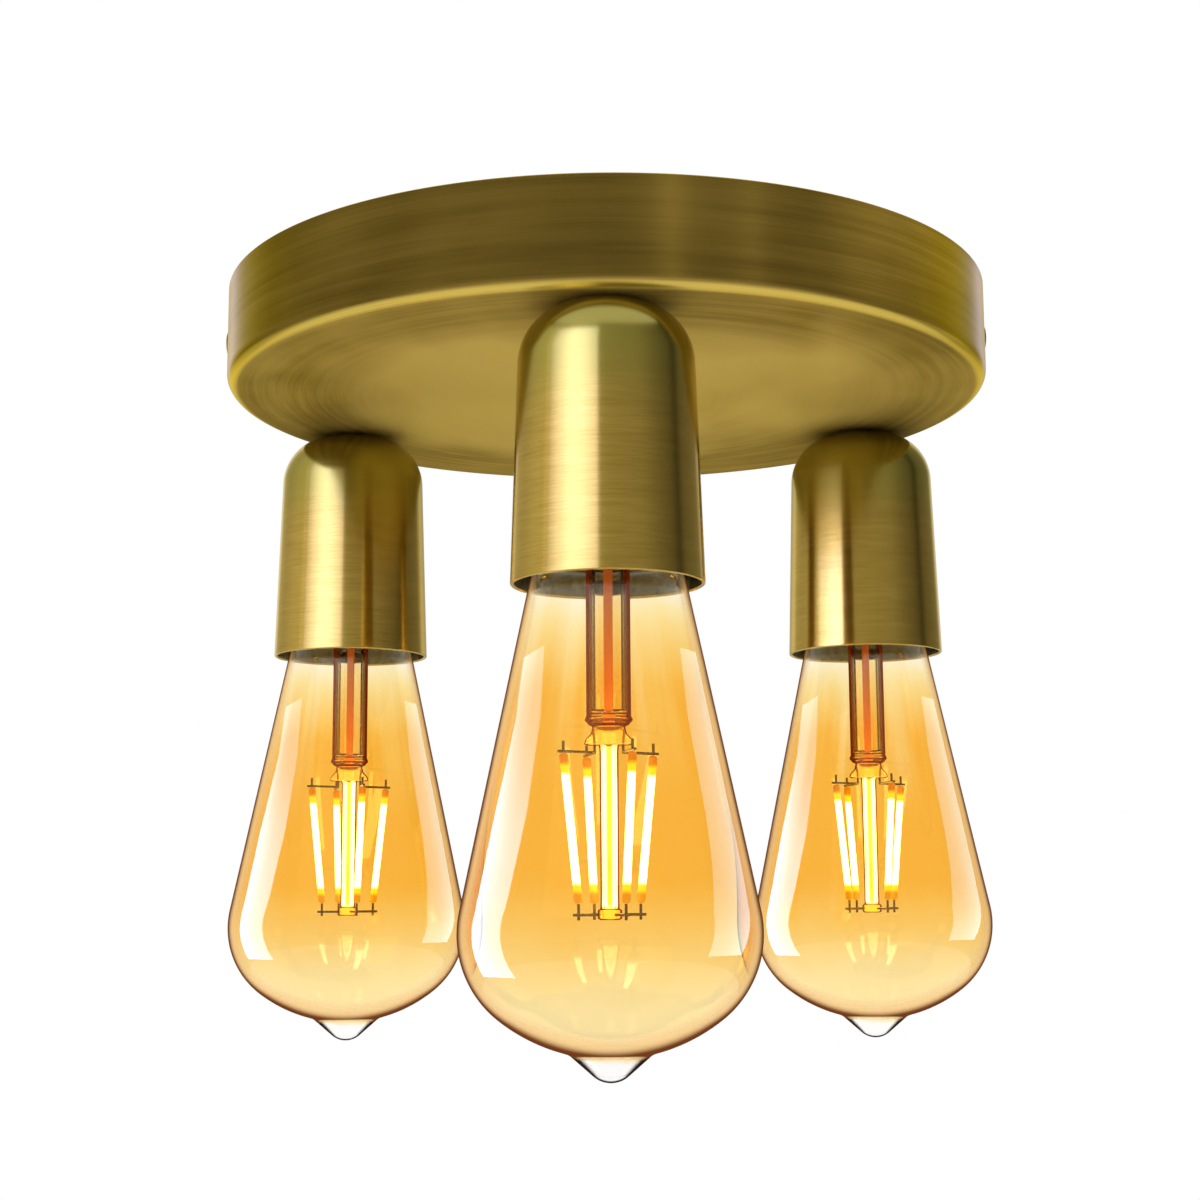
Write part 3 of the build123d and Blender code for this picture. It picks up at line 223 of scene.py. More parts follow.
class Finish:
    """The nodes of one finish, or of the sky around the stage."""

    def __init__(self, owner):
        owner.use_nodes = True
        self.owner = owner
        self.tree = owner.node_tree
        self.tree.nodes.clear()

    def node(self, kind, settings=None, sockets=None, output=0):
        """Add a node: its settings first, then its sockets' values or links."""
        made = self.tree.nodes.new(kind)
        for key, value in (settings or {}).items():
            if key == "stops":
                self.set_stops(made.color_ramp, value)
            else:
                setattr(made, key, value)
        for key, value in (sockets or {}).items():
            if isinstance(value, Reading):
                self.tree.links.new(value.socket, made.inputs[key])
            else:
                made.inputs[key].default_value = value
        return Reading(self, made.outputs[output]) if made.outputs else None

    @staticmethod
    def set_stops(ramp, stops):
        """Give a ramp its (position, colour) stops."""
        while len(ramp.elements) < len(stops):
            ramp.elements.new(1)
        for element, (position, colour) in zip(ramp.elements, stops):
            element.position = position
            element.color = (*colour, 1) if len(colour) == 3 else colour

    def math(self, operation, *terms):
        """A Math node on values or numbers."""
        return self.node("ShaderNodeMath", {"operation": operation}, dict(enumerate(terms)))

    def place(self):
        """Object coordinates, in metres."""
        return self.node("ShaderNodeTexCoord", output="Object")

    def parts(self, vector):
        """The x, y and z of a vector."""
        split = self.node("ShaderNodeSeparateXYZ", sockets={"Vector": vector})
        return [Reading(self, socket) for socket in split.socket.node.outputs]

    def joined(self, x, y, z):
        """A vector from its x, y and z."""
        return self.node("ShaderNodeCombineXYZ", sockets={"X": x, "Y": y, "Z": z})

    def moved(self, vector, by):
        return self.node("ShaderNodeVectorMath", {"operation": "ADD"}, {0: vector, 1: by})

    def scaled(self, vector, by):
        return self.node("ShaderNodeVectorMath", {"operation": "MULTIPLY"}, {0: vector, 1: by})

    def cloud(self, vector, scale, detail=2.0, roughness=0.5, distortion=0.0):
        """Soft noise from 0 to 1, about 0.5 on average."""
        return self.node("ShaderNodeTexNoise", None,
                         {"Vector": vector, "Scale": scale, "Detail": detail,
                          "Roughness": roughness, "Distortion": distortion})

    def blend(self, factor, first, second):
        """A colour between two, by a factor: sockets 6 and 7 are the Mix node's colours."""
        return self.node("ShaderNodeMix", {"data_type": "RGBA"},
                         {"Factor": factor, 6: colour(first), 7: colour(second)}, output=2)

    def fitted(self, value, low, high, to_low=0.0, to_high=1.0):
        """A value brought smoothly from one range to another and held inside it."""
        return self.node("ShaderNodeMapRange", {"interpolation_type": "SMOOTHSTEP"},
                         {"Value": value, "From Min": low, "From Max": high,
                          "To Min": to_low, "To Max": to_high})

    def ramp(self, factor, stops):
        """A colour that runs through (position, colour) stops."""
        return self.node("ShaderNodeValToRGB", {"stops": stops}, {"Fac": factor})

    def bump(self, height, depth, strength=1.0):
        """A normal that makes a height of 0 to 1 look as deep as depth, in metres."""
        return self.node("ShaderNodeBump", None,
                         {"Height": height, "Distance": depth, "Strength": strength})

    def evenly(self, value, low, high):
        """A value brought from a range to 0..1 in a straight line."""
        return self.node("ShaderNodeMapRange", {"interpolation_type": "LINEAR"},
                         {"Value": value, "From Min": low, "From Max": high})

    def outlined(self, sockets, edge, shade):
        """Close a glass finish that turns to an opaque dark line where it is seen edge on."""
        clear = self.node("ShaderNodeBsdfPrincipled", None, sockets)
        dark = self.node("ShaderNodeBsdfPrincipled", None,
                         {"Base Color": colour(shade), "Roughness": 1.0, "Specular IOR Level": 0.0})
        both = self.node("ShaderNodeMixShader", None, {0: edge, 1: clear, 2: dark})
        self.node("ShaderNodeOutputMaterial", None, {"Surface": both})
        return self.owner

    def surface(self, sockets):
        """Close the finish with a Principled shader."""
        shader = self.node("ShaderNodeBsdfPrincipled", None, sockets)
        self.node("ShaderNodeOutputMaterial", None, {"Surface": shader})
        return self.owner


def colour(value):
    """A colour that a socket takes: a link, or four numbers."""
    return value if isinstance(value, Reading) else (*value[:3], 1)


def new_finish(name):
    """An empty material."""
    return Finish(bpy.data.materials.new(name))


def graded_finish(name):
    """An empty material whose tones change with height, and with it the place and its z."""
    finish = new_finish(name)
    spot = finish.place()
    return finish, spot, finish.parts(spot)[2]


# ---- Finishes ----

def turned(finish, spot, across, lines):
    """Coordinates that run round the z axis, so that noise on them draws turning marks.

    The marks are the shorter the larger across is, and the closer the larger lines is. Gives
    also the distance from the axis, and z.
    """
    x, y, z = finish.parts(spot)
    radius = (x * x + y * y) ** 0.5
    flat = finish.joined(x, y, 0.0)
    heading = finish.node("ShaderNodeVectorMath", {"operation": "NORMALIZE"}, {0: flat})
    hx, hy, _ = finish.parts(heading)
    return finish.joined(hx * across, hy * across, (radius + z) * lines), radius, z


def brushed_brass(name, seed, bright, dark, weights, roughness, lacquer):
    """Lacquered antique brass, brushed round its own axis.

    The weights are those of fine hairlines, long streaks and wide clouds. Gives the open
    finish, its sockets, the hairlines, the distance from the axis, and z, for the piece to close.
    """
    finish = new_finish(name)
    spot = finish.place()
    fine, radius, z = turned(finish, spot, 2.6, 3000.0)
    coarse, _, _ = turned(finish, spot, 1.3, 380.0)
    hair = finish.cloud(finish.moved(fine, (seed, 0.0, 0.0)), 1.0, 3.0, 0.6)
    streak = finish.cloud(finish.moved(coarse, (0.0, seed, 0.0)), 1.0, 2.0, 0.55)
    bloom = finish.cloud(finish.moved(spot, (seed, seed, 0.0)), 16.0, 3.0, 0.55)
    tone = hair * weights[0] + streak * weights[1] + bloom * weights[2]
    sockets = {
        "Base Color": finish.blend(finish.fitted(tone, 0.29, 0.71), dark, bright), "Metallic": 1.0,
        "Roughness": hair * 0.06 + bloom * 0.05 + roughness,
        "Specular Tint": (0.96, 0.85, 0.52, 1),
        "Anisotropic": 0.72, "Anisotropic Rotation": 0.25,
        "Coat Weight": lacquer, "Coat Roughness": 0.12, "Coat IOR": 1.5,
        "Normal": finish.bump(hair, 0.015 * MM, 0.25),
    }
    return finish, sockets, hair, radius, z


def canopy_brass(name, sizes):
    """The canopy's brass: worn bright along the bend, where this also paints a highlight, and softer and
    paler on the face, where painted light makes it brighter towards the front and painted shade darker
    towards the rim and the back.
    """
    colours = bpy.context.scene.finish_colours
    finish, sockets, hair, radius, z = brushed_brass(
        name, 3.0, tuple(colours.patina), tuple(colours.patina_shade), (0.18, 0.34, 0.48), 0.24, 0.04)
    # Radius plus z rises steadily from the middle of the face to the top of the rim. The brass is worn
    # brightest, as wear and as a painted highlight, a little to the face's side of the bend's middle.
    level = radius + z
    bend = sizes.radius - sizes.height - sizes.edge * 0.35 + 0.2 * MM
    bend_reach = 2.2 * MM
    face = finish.fitted(level, bend - 2 * MM, bend, 1.0, 0.0)
    spot = finish.place()
    _, y, _ = finish.parts(spot)
    cloud = finish.cloud(finish.scaled(spot, (1.0, 0.55, 1.0)), 22.0, 2.0)
    # The clouds are the face's own uneven tone; the radius and y terms are painted shade towards the rim
    # and the back, and painted light towards the front.
    face_clouds_and_painted_shade = (finish.fitted(cloud, 0.34, 0.64) * 0.6
              + finish.fitted(radius, 58 * MM, 86 * MM, 0.42, -0.45)
              + finish.fitted(y, -55 * MM, 45 * MM, 0.35, -0.2))
    base = finish.blend(face * face_clouds_and_painted_shade, sockets["Base Color"], tuple(colours.face))
    # Wear along the bend, which also paints the bend's highlight.
    bend_wear_and_highlight = finish.fitted((level - bend) ** 2, 0.0, bend_reach ** 2, 1.0, 0.0)
    sockets["Base Color"] = finish.blend(bend_wear_and_highlight * (hair * 0.5 + 0.45), base, tuple(colours.worn_and_highlight))
    sockets["Roughness"] = sockets["Roughness"] + face * 0.26
    sockets["Metallic"] = 1 - face * 0.6
    sockets["Specular IOR Level"] = 0.0
    sockets["Specular Tint"] = (0.97, 0.86, 0.36, 1)
    return finish.surface(sockets)


def cover_brass(name, seed):
    """A holder cover's brass: finer hairlines, more lacquer, and painted shade, darker and greener, up
    on the dome.
    """
    colours = bpy.context.scene.finish_colours
    finish, sockets, _, _, z = brushed_brass(
        name, seed, tuple(colours.brass), tuple(colours.brass_shade), (0.52, 0.30, 0.18), 0.15, 0.5)
    # Painted shade: the brass turns darker and greener up on the dome.
    dome = finish.fitted(z, -56 * MM, -36 * MM, 0.0, 0.85)
    sockets["Base Color"] = finish.blend(dome, sockets["Base Color"], tuple(colours.dome))
    return finish.surface(sockets)


def raw_brass(name):
    """The unpolished inside of a pressing, grey green and mottled."""
    finish = new_finish(name)
    spot = finish.place()
    blotch = finish.cloud(spot, 190.0, 5.0, 0.65, 0.6)
    wash = finish.cloud(spot, 38.0, 2.0)
    tone = finish.ramp(blotch * 0.75 + wash * 0.25,
                       [(0.30, (0.060, 0.055, 0.022)), (0.47, (0.19, 0.17, 0.085)),
                        (0.60, (0.36, 0.33, 0.20)), (0.75, (0.52, 0.50, 0.36))])
    return finish.surface({
        "Base Color": tone, "Metallic": 0.85, "Roughness": blotch * 0.35 + 0.25,
        "Normal": finish.bump(blotch, 0.05 * MM, 0.6),
    })


def aslant(finish):
    """0 where a surface faces the eye and 1 where it is seen edge on."""
    return finish.node("ShaderNodeLayerWeight", None, {"Blend": 0.5}, output="Facing")


def amber_glass(name, outer):
    """Blown glass with an amber lustre that fades to clear at the tip and the neck.

    The outer skin also turns brown where it is seen edge on, most of all at the foot.
    """
    colours = bpy.context.scene.finish_colours
    finish, spot, z = graded_finish(name)
    drift = finish.cloud(finish.scaled(spot, (1.0, 1.0, 0.25)), 60.0, 2.0)
    drop = (drift - 0.5) * (12 * MM) - z
    strong, pale = tuple(colours.amber), tuple(colours.pale_amber)
    middle = tuple((a + b) / 2 for a, b in zip(strong, pale))
    tone = finish.ramp(finish.evenly(drop, 80 * MM, 192 * MM), [
        (0.06, (1.0, 0.98, 0.93)), (0.13, pale), (0.20, middle), (0.27, strong),
        (0.62, strong), (0.74, middle), (0.84, pale), (0.925, pale), (0.945, (1.0, 1.0, 1.0))])
    lengthwise, _, _ = turned(finish, spot, 3.2, 9.0)
    runs = finish.fitted(finish.cloud(lengthwise, 1.0, 2.0), 0.50, 0.66)
    high_up = finish.fitted(z, -135 * MM, -105 * MM, 0.0, 0.48)
    tone = finish.blend(runs * high_up, tone, (0.99, 0.93, 0.74))
    if not outer:
        return finish.surface({"Base Color": tone, **BLOWN_GLASS})
    tip = finish.fitted(z, -186.2 * MM, -185.2 * MM, 1.0, 0.0)
    foot = finish.fitted(z, -184 * MM, -172 * MM, 0.07, 0.0)
    turned_away = aslant(finish) + foot
    beige = finish.fitted(turned_away, 0.50, 0.82) * (1 - tip)
    tone = finish.blend(beige, tone, tuple(colours.glass_rim))
    shade = finish.blend(finish.fitted(turned_away, 0.70, 0.90), tuple(colours.glass_rim),
                         tuple(colours.outline))
    shade = finish.blend(tip, shade, (0.03, 0.012, 0.006))
    edge = (finish.fitted(turned_away, 0.50, 0.86) * (1 - tip)
            + finish.fitted(turned_away, 0.62, 0.78) * tip)
    return finish.outlined({"Base Color": tone, **BLOWN_GLASS}, edge, shade)


def clear_glass(name):
    """The clear glass of stem, pillar and hub: brown at its edges, with a painted glow of the filaments'
    light.
    """
    finish, spot, z = graded_finish(name)
    streak = finish.cloud(finish.scaled(spot, (1.0, 1.0, 0.04)), 900.0, 2.0)
    higher = finish.fitted(z, -152 * MM, -110 * MM)
    body = finish.blend(higher, (1.0, 0.86, 0.42), (1.0, 0.93, 0.80))
    body = finish.blend(streak * 0.3, body, (1.0, 0.80, 0.45))
    turned_away = aslant(finish)
    tone = finish.blend(finish.fitted(turned_away, 0.20, 0.60), body, (0.85, 0.42, 0.14))
    straw, white, grey = (0.22, 0.16, 0.01), (1.0, 1.0, 1.0), (0.16, 0.19, 0.17)
    # Painted highlights: pale stripes of the filaments' light down the pillar, as emission.
    pillar = finish.ramp(turned_away, [
        (0.0, straw), (0.022, straw), (0.045, white), (0.15, white), (0.19, grey), (0.24, grey),
        (0.29, (1.0, 1.0, 0.9)), (0.42, (1.0, 1.0, 0.8)), (0.50, (0.15, 0.12, 0.04))])
    # Painted glow: orange on the hub, fainter in the pinch, none in the tube.
    above_hub = finish.fitted(z, -155.6 * MM, -154.9 * MM)
    in_pinch = finish.fitted(z, -123 * MM, -120.5 * MM)
    in_tube = finish.fitted(z, -119 * MM, -114 * MM)
    glow = finish.blend(above_hub, (0.25, 0.10, 0.003), pillar)
    glow = finish.blend(in_pinch, glow, (0.11, 0.045, 0.0))
    glow = finish.blend(in_tube, glow, (0.0, 0.0, 0.0))
    edge = finish.fitted(turned_away, 0.33, 0.52)
    return finish.outlined({
        "Base Color": tone, **BLOWN_GLASS, "Emission Color": glow, "Emission Strength": 2.8,
    }, edge, (0.33, 0.046, 0.007))


def exhaust_glass(name):
    """The exhaust tube, red orange above and paler below, with a painted glow that is brightest at its
    foot.
    """
    finish, spot, z = graded_finish(name)
    mottle = finish.cloud(spot, 300.0, 3.0)
    tone = finish.ramp(finish.fitted(z + mottle * (6 * MM), -120 * MM, -84 * MM),
                       [(0.0, (1.0, 0.45, 0.08)), (0.4, (0.90, 0.22, 0.04)), (1.0, (0.62, 0.14, 0.04))])
    # Painted glow, though the tube is no lamp: brightest low down.
    glow = finish.ramp(finish.evenly(z, -120 * MM, -78 * MM), [
        (0.0, (1.0, 0.40, 0.04)), (0.35, (0.75, 0.22, 0.025)), (1.0, (0.36, 0.09, 0.02))])
    return finish.surface({
        "Base Color": tone, "Roughness": 0.15, "Transmission Weight": 0.12, "IOR": 1.45,
        "Emission Color": glow, "Emission Strength": 0.45,
    })


def lit_coating(name):
    """A lit filament: white along its length, yellow and then orange at both ends."""
    sizes = bpy.context.scene.filament_sizes
    finish, spot, z = graded_finish(name)
    grain = finish.cloud(spot, 1600.0, 2.0)
    drop = (grain - 0.5) * (0.6 * MM) - z
    along = finish.evenly(drop, sizes.top_drop, sizes.bottom_drop)
    orange, golden = (0.085, 0.034, 0.0), (0.09, 0.052, 0.0)
    yellow, white = (0.24, 0.18, 0.005), (1.0, 0.97, 0.90)
    glow = finish.ramp(along, [
        (0.0, orange), (0.06, orange), (0.09, yellow), (0.13, yellow), (0.15, white),
        (0.86, white), (0.88, yellow), (0.91, yellow), (0.94, golden), (1.0, golden)])
    return finish.surface({
        "Base Color": finish.blend(grain, (0.40, 0.14, 0.01), (0.52, 0.22, 0.02)),
        "Roughness": 0.4, "Emission Color": glow, "Emission Strength": 6.3,
    })


def plated(name, bright, dull, roughness, scale=240.0):
    """A plated or turned metal with small clouds and a fine grain."""
    finish = new_finish(name)
    spot = finish.place()
    wash = finish.cloud(spot, scale * 0.25, 3.0)
    grain = finish.cloud(spot, scale * 5, 2.0)
    tone = finish.blend(finish.fitted(wash * 0.7 + grain * 0.3, 0.35, 0.65), dull, bright)
    return finish.surface({
        "Base Color": tone, "Metallic": 1.0, "Roughness": grain * 0.18 + roughness,
        "Normal": finish.bump(grain, 0.02 * MM, 0.3),
    })


def moulded(name, bright, dull, roughness, coat=0.0, scale=120.0, depth=0.03):
    """Plastic, ceramic or enamel: an even body colour with a slight unevenness."""
    finish = new_finish(name)
    spot = finish.place()
    wash = finish.cloud(spot, scale, 3.0)
    grain = finish.cloud(spot, scale * 9, 2.0)
    return finish.surface({
        "Base Color": finish.blend(wash, dull, bright),
        "Roughness": grain * 0.12 + roughness, "Coat Weight": coat, "Coat Roughness": 0.04,
        "Normal": finish.bump(wash * 0.6 + grain * 0.4, depth * MM, 0.4),
    })


def two_colour_insulation(name):
    """Green silicone with a yellow stripe wound round it."""
    finish = new_finish(name)
    x, y, z = finish.parts(finish.place())
    wave = finish.math("SINE", x * 900 + y * 260 + z * 500)
    stripe = finish.fitted(wave, 0.05, 0.25)
    return finish.surface({
        "Base Color": finish.blend(stripe, (0.03, 0.25, 0.05), (0.80, 0.62, 0.03)),
        "Roughness": finish.cloud(finish.place(), 700.0) * 0.15 + 0.35,
    })


# The looks of the pieces that keep their solids' own shape, by slot, as plated and moulded
# take them after the name.
METALS = {
    "screw_brass": ((0.62, 0.45, 0.16), (0.40, 0.28, 0.08), 0.16),
    "zinc_steel": ((0.72, 0.73, 0.74), (0.50, 0.50, 0.47), 0.24, 90.0),
    "machined_brass": ((0.83, 0.62, 0.27), (0.66, 0.47, 0.18), 0.18),
    "tinned_copper": ((0.78, 0.76, 0.72), (0.60, 0.57, 0.52), 0.25),
    "nickel_wire": ((0.22, 0.17, 0.12), (0.12, 0.09, 0.06), 0.20),
    "nickel_cap": ((0.74, 0.71, 0.65), (0.55, 0.52, 0.46), 0.14, 160.0),
    "solder": ((0.70, 0.70, 0.68), (0.48, 0.48, 0.47), 0.30, 400.0),
}
MOULDINGS = {
    "white_nylon": ((0.82, 0.82, 0.79), (0.72, 0.71, 0.67), 0.38),
    "brown_insulation": ((0.17, 0.065, 0.03), (0.12, 0.045, 0.02), 0.36),
    "blue_insulation": ((0.03, 0.16, 0.50), (0.02, 0.11, 0.38), 0.36),
    "white_porcelain": ((0.86, 0.85, 0.80), (0.76, 0.74, 0.68), 0.12, 0.8, 60.0, 0.08),
    "black_vitrite": ((0.02, 0.02, 0.025), (0.01, 0.01, 0.012), 0.10, 0.6),
    "circuit_board": ((0.05, 0.28, 0.10), (0.03, 0.16, 0.06), 0.30, 0.2, 500.0),
}


def stocked_finishes():
    """The finishes of the pieces that keep their solids' own shape, by slot."""
    finishes = {slot: plated(slot, *look) for slot, look in METALS.items()}
    finishes |= {slot: moulded(slot, *look) for slot, look in MOULDINGS.items()}
    finishes["green_yellow_insulation"] = two_colour_insulation("green_yellow_insulation")
    return finishes


# ---- Shapes ----

def sweep_points(centre, radius, start, end, steps):
    """Points along an arc in the (radius, height) plane, with its ends, in degrees."""
    points = []
    for step in range(steps + 1):
        angle = math.radians(start + (end - start) * step / steps)
        points.append((centre[0] + radius * math.cos(angle), centre[1] + radius * math.sin(angle)))
    return points


def even_points(start, end, steps):
    """Points along a straight run, without its first."""
    return [(start[0] + (end[0] - start[0]) * step / steps,
             start[1] + (end[1] - start[1]) * step / steps) for step in range(1, steps + 1)]


def new_piece(name, mesh_data, spot=(0, 0, 0)):
    """Put a mesh in the scene, at a place in metres."""
    piece = bpy.data.objects.new(name, mesh_data)
    piece.location = spot
    bpy.context.scene.collection.objects.link(piece)
    return piece


def plain_mesh(name, builder):
    """Turn a builder into a mesh, and free the builder."""
    mesh = bpy.data.meshes.new(name)
    builder.to_mesh(mesh)
    builder.free()
    return mesh


def finished_mesh(name, builder, sharp):
    """A smooth mesh whose edges stay hard where they turn more than sharp degrees."""
    bmesh.ops.remove_doubles(builder, verts=builder.verts, dist=1e-7)
    bmesh.ops.recalc_face_normals(builder, faces=builder.faces)
    mesh = plain_mesh(name, builder)
    mesh.shade_smooth()
    mesh.set_sharp_from_angle(angle=math.radians(sharp))
    return mesh


def stitch(builder, first, second, finish=0):
    """Join two rings of vertices with faces; a ring of one vertex is a pole."""
    count = max(len(first), len(second))
    for index in range(count):
        after = (index + 1) % count
        corners = [first[index % len(first)], first[after % len(first)],
                   second[after % len(second)], second[index % len(second)]]
        corners = [c for k, c in enumerate(corners) if c not in corners[:k]]
        if len(corners) > 2:
            builder.faces.new(corners).material_index = finish


def join_rings(builder, rings):
    """Join each ring to the next."""
    for before, after in zip(rings, rings[1:]):
        stitch(builder, before, after)


def circle(count):
    """The angles of evenly spaced points round a circle."""
    return [math.tau * step / count for step in range(count)]


def lathe(name, outline, around, sharp=CREASE, finish_of=None):
    """Turn a closed outline of (radius, height) points, in metres, about the z axis.

    finish_of gives the material index of each step along the outline.
    """
    builder = bmesh.new()
    rings = []
    for radius, height in outline:
        if radius < 1e-6:
            rings.append([builder.verts.new((0, 0, height))])
            continue
        rings.append([builder.verts.new((radius * math.cos(angle), radius * math.sin(angle), height))
                      for angle in circle(around)])
    for index, ring in enumerate(rings):
        after = rings[(index + 1) % len(rings)]
        if len(ring) == 1 and len(after) == 1:
            continue
        stitch(builder, ring, after, finish_of(index) if finish_of else 0)
    return finished_mesh(name, builder, sharp)


def oval_ring(builder, height, wide, deep, square, around):
    """A ring whose outline goes from an oval, at 2, towards a box as square grows."""
    ring = []
    for angle in circle(around):
        c, s = math.cos(angle), math.sin(angle)
        ring.append(builder.verts.new((math.copysign(abs(c) ** (2 / square), c) * wide,
                                       math.copysign(abs(s) ** (2 / square), s) * deep, height)))
    return ring


def smooth_step(share):
    """Ease a share of 0 to 1 in and out."""
    return share * share * (3 - 2 * share)


def eased_sections(sections, steps):
    """Fill in between (height, wide, deep, square) sections with smooth steps."""
    filled = [sections[0]]
    for before, after in zip(sections, sections[1:]):
        for step in range(1, steps + 1):
            share = step / steps
            bend = smooth_step(share)
            filled.append((before[0] + (after[0] - before[0]) * share,
                           *(b + (a - b) * bend for b, a in zip(before[1:], after[1:]))))
    return filled


# ---- Pieces ----

def canopy_outline(sizes):
    """A shallow pan, open at the ceiling: rim, bend and face, with an eased lip at the top."""
    radius, floor, wall, edge = sizes.radius, -sizes.height, sizes.wall, sizes.edge
    inner = edge - wall
    lip = 0.25 * MM
    outline = [(radius - lip, 0.0), (radius, -lip)]
    outline += even_points((radius, -lip), (radius, floor + edge), 8)
    outline += sweep_points((radius - edge, floor + edge), edge, 0, -90, 14)[1:]
    outline += even_points((radius - edge, floor), (0.0, floor), 24)
    outline += [(0.0, floor + wall)]
    outline += even_points((0.0, floor + wall), (radius - wall - inner, floor + wall), 24)
    outline += sweep_points((radius - wall - inner, floor + wall + inner), inner, -90, 0, 8)[1:]
    outline += even_points((radius - wall, floor + wall + inner), (radius - wall, -lip), 6)
    outline += [(radius - wall + lip, 0.0)]
    return outline


def cut_holes(piece, cutters):
    """Cut round holes, each given as (place, direction, radius, length), into a piece."""
    for place, direction, radius, length in cutters:
        builder = bmesh.new()
        bmesh.ops.create_cone(builder, cap_ends=True, segments=48, radius1=radius, radius2=radius,
                              depth=length)
        cutter = new_piece("hole", plain_mesh("hole", builder))
        cutter.matrix_world = (Matrix.Translation(place)
                               @ Vector(direction).to_track_quat("Z", "Y").to_matrix().to_4x4())
        bpy.context.view_layer.update()
        change = piece.modifiers.new("hole", "BOOLEAN")
        change.operation = "DIFFERENCE"
        change.solver = "EXACT"
        change.object = cutter
        graph = bpy.context.evaluated_depsgraph_get()
        cut = bpy.data.meshes.new_from_object(piece.evaluated_get(graph))
        piece.modifiers.clear()
        piece.data = cut
        bpy.data.objects.remove(cutter)
    piece.data.set_sharp_from_angle(angle=math.radians(CREASE))


def cover_outline(sizes):
    """A drawn dome: flat top, round shoulder, slightly flared wall, turned lip at the mouth.

    Also gives the number of steps that are outside.
    """
    top, bottom = -sizes.top, -sizes.top - sizes.length
    slope = math.atan2(sizes.mouth - sizes.crown, sizes.length)
    lip = sizes.wall * 0.5

    def dome(inset):
        """The shoulder's centre, its radius, the top's level and the mouth, inside the skin."""
        bend = sizes.shoulder - inset
        wall = inset / math.cos(slope)
        corner = sizes.crown + inset * math.tan(slope) - wall
        reach = bend * math.tan((math.pi / 2 - slope) / 2)
        level = top - inset
        centre = (corner - reach, level - bend)
        return centre, bend, level, sizes.mouth - wall

    centre, bend, level, mouth = dome(0)
    tilt = math.degrees(slope)
    outline = [(sizes.hole, level)] + even_points((sizes.hole, level), (centre[0], level), 2)
    outer = sweep_points(centre, bend, 90, tilt, 28)
    outline += outer[1:]
    outline += even_points(outer[-1], (mouth - lip * math.tan(slope), bottom + lip), 16)
    outline += sweep_points((mouth - lip, bottom + lip), lip, 0, -180, 10)[1:-1]
    outside = len(outline)
    centre, bend, level, mouth = dome(sizes.wall)
    inner = sweep_points(centre, bend, tilt, 90, 20)
    outline += [(mouth, bottom + lip)] + even_points((mouth, bottom + lip), inner[0], 8)
    outline += inner[1:]
    outline += even_points((centre[0], level), (sizes.hole, level), 2)
    return outline, outside


def bulb_outline(sizes):
    """The lamp's outside from the neck to the sealed tip, and its inside back up.

    Also gives the number of steps that are outside.
    """
    belly_r, end_r, shoulder_r = 22.4 * MM, 38.0 * MM, 5.3 * MM
    cone_angle, lean_angle = 11.9, 42
    cone, lean = math.radians(cone_angle), math.radians(lean_angle)
    belly = (sizes.widest - belly_r, -sizes.widest_drop)
    end_z = belly[1] + math.sqrt((end_r - belly_r) ** 2 - belly[0] ** 2)
    low = (belly[0] + belly_r * math.cos(cone), belly[1] + belly_r * math.sin(cone))
    shoulder_z = -87.0 * MM
    high_z = shoulder_z + shoulder_r * math.sin(cone)
    high_r = low[0] - (high_z - low[1]) * math.tan(cone)
    shoulder = (high_r - shoulder_r * math.cos(cone), shoulder_z)
    meet = math.degrees(math.atan2(belly[1] - end_z, belly[0]))

    def shell(inset):
        """From the neck over the shoulder and down the cone to the end of the belly."""
        neck = sizes.neck - inset
        bend = shoulder_r - inset
        start = math.degrees(math.acos((neck - shoulder[0]) / bend))
        points = [(neck, -sizes.top)]
        points += sweep_points(shoulder, bend, start, cone_angle, 10)
        cone_foot = (belly[0] + (belly_r - inset) * math.cos(cone),
                     belly[1] + (belly_r - inset) * math.sin(cone))
        points += even_points(points[-1], cone_foot, 26)
        points += sweep_points(belly, belly_r - inset, cone_angle, meet, 36)[1:]
        return points

    outside = shell(0)
    base = 8.9 * MM
    base_angle = -math.degrees(math.acos(base / end_r))
    outside += sweep_points((0, end_z), end_r, meet, base_angle, 26)[1:-1]
    tip_z, tip_r = -sizes.bottom, 5.7 * MM
    foot_z = end_z - math.sqrt(end_r ** 2 - base ** 2)
    side = (tip_r * math.sin(lean), tip_z + tip_r * (1 - math.cos(lean)))
    # The soft crease between the round end and the drawn tip.
    outside += [(base + 0.9 * MM, foot_z + 0.22 * MM), (base + 0.15 * MM, foot_z - 0.02 * MM),
                (base - 0.5 * MM, foot_z - 0.42 * MM)]
    outside += even_points(outside[-1], side, 8)
    outside += sweep_points((0, tip_z + tip_r), tip_r, lean_angle - 90, -90, 12)[1:-1]
    outside += [(0.0, tip_z)]
    inside = shell(sizes.wall)
    hollow = base - sizes.wall * 1.4
    hollow_angle = -math.degrees(math.acos(hollow / (end_r - sizes.wall)))
    inside += sweep_points((0, end_z), end_r - sizes.wall, meet, hollow_angle, 40)[1:]
    floor_r = tip_r - sizes.wall
    turn = (floor_r * math.sin(lean), tip_z + tip_r - floor_r * math.cos(lean))
    inside += even_points(inside[-1], turn, 8)
    inside += sweep_points((0, tip_z + tip_r), floor_r, lean_angle - 90, -90, 10)[1:-1]
    inside += [(0.0, tip_z + sizes.wall)]
    return outside + inside[::-1], len(outside) - 1


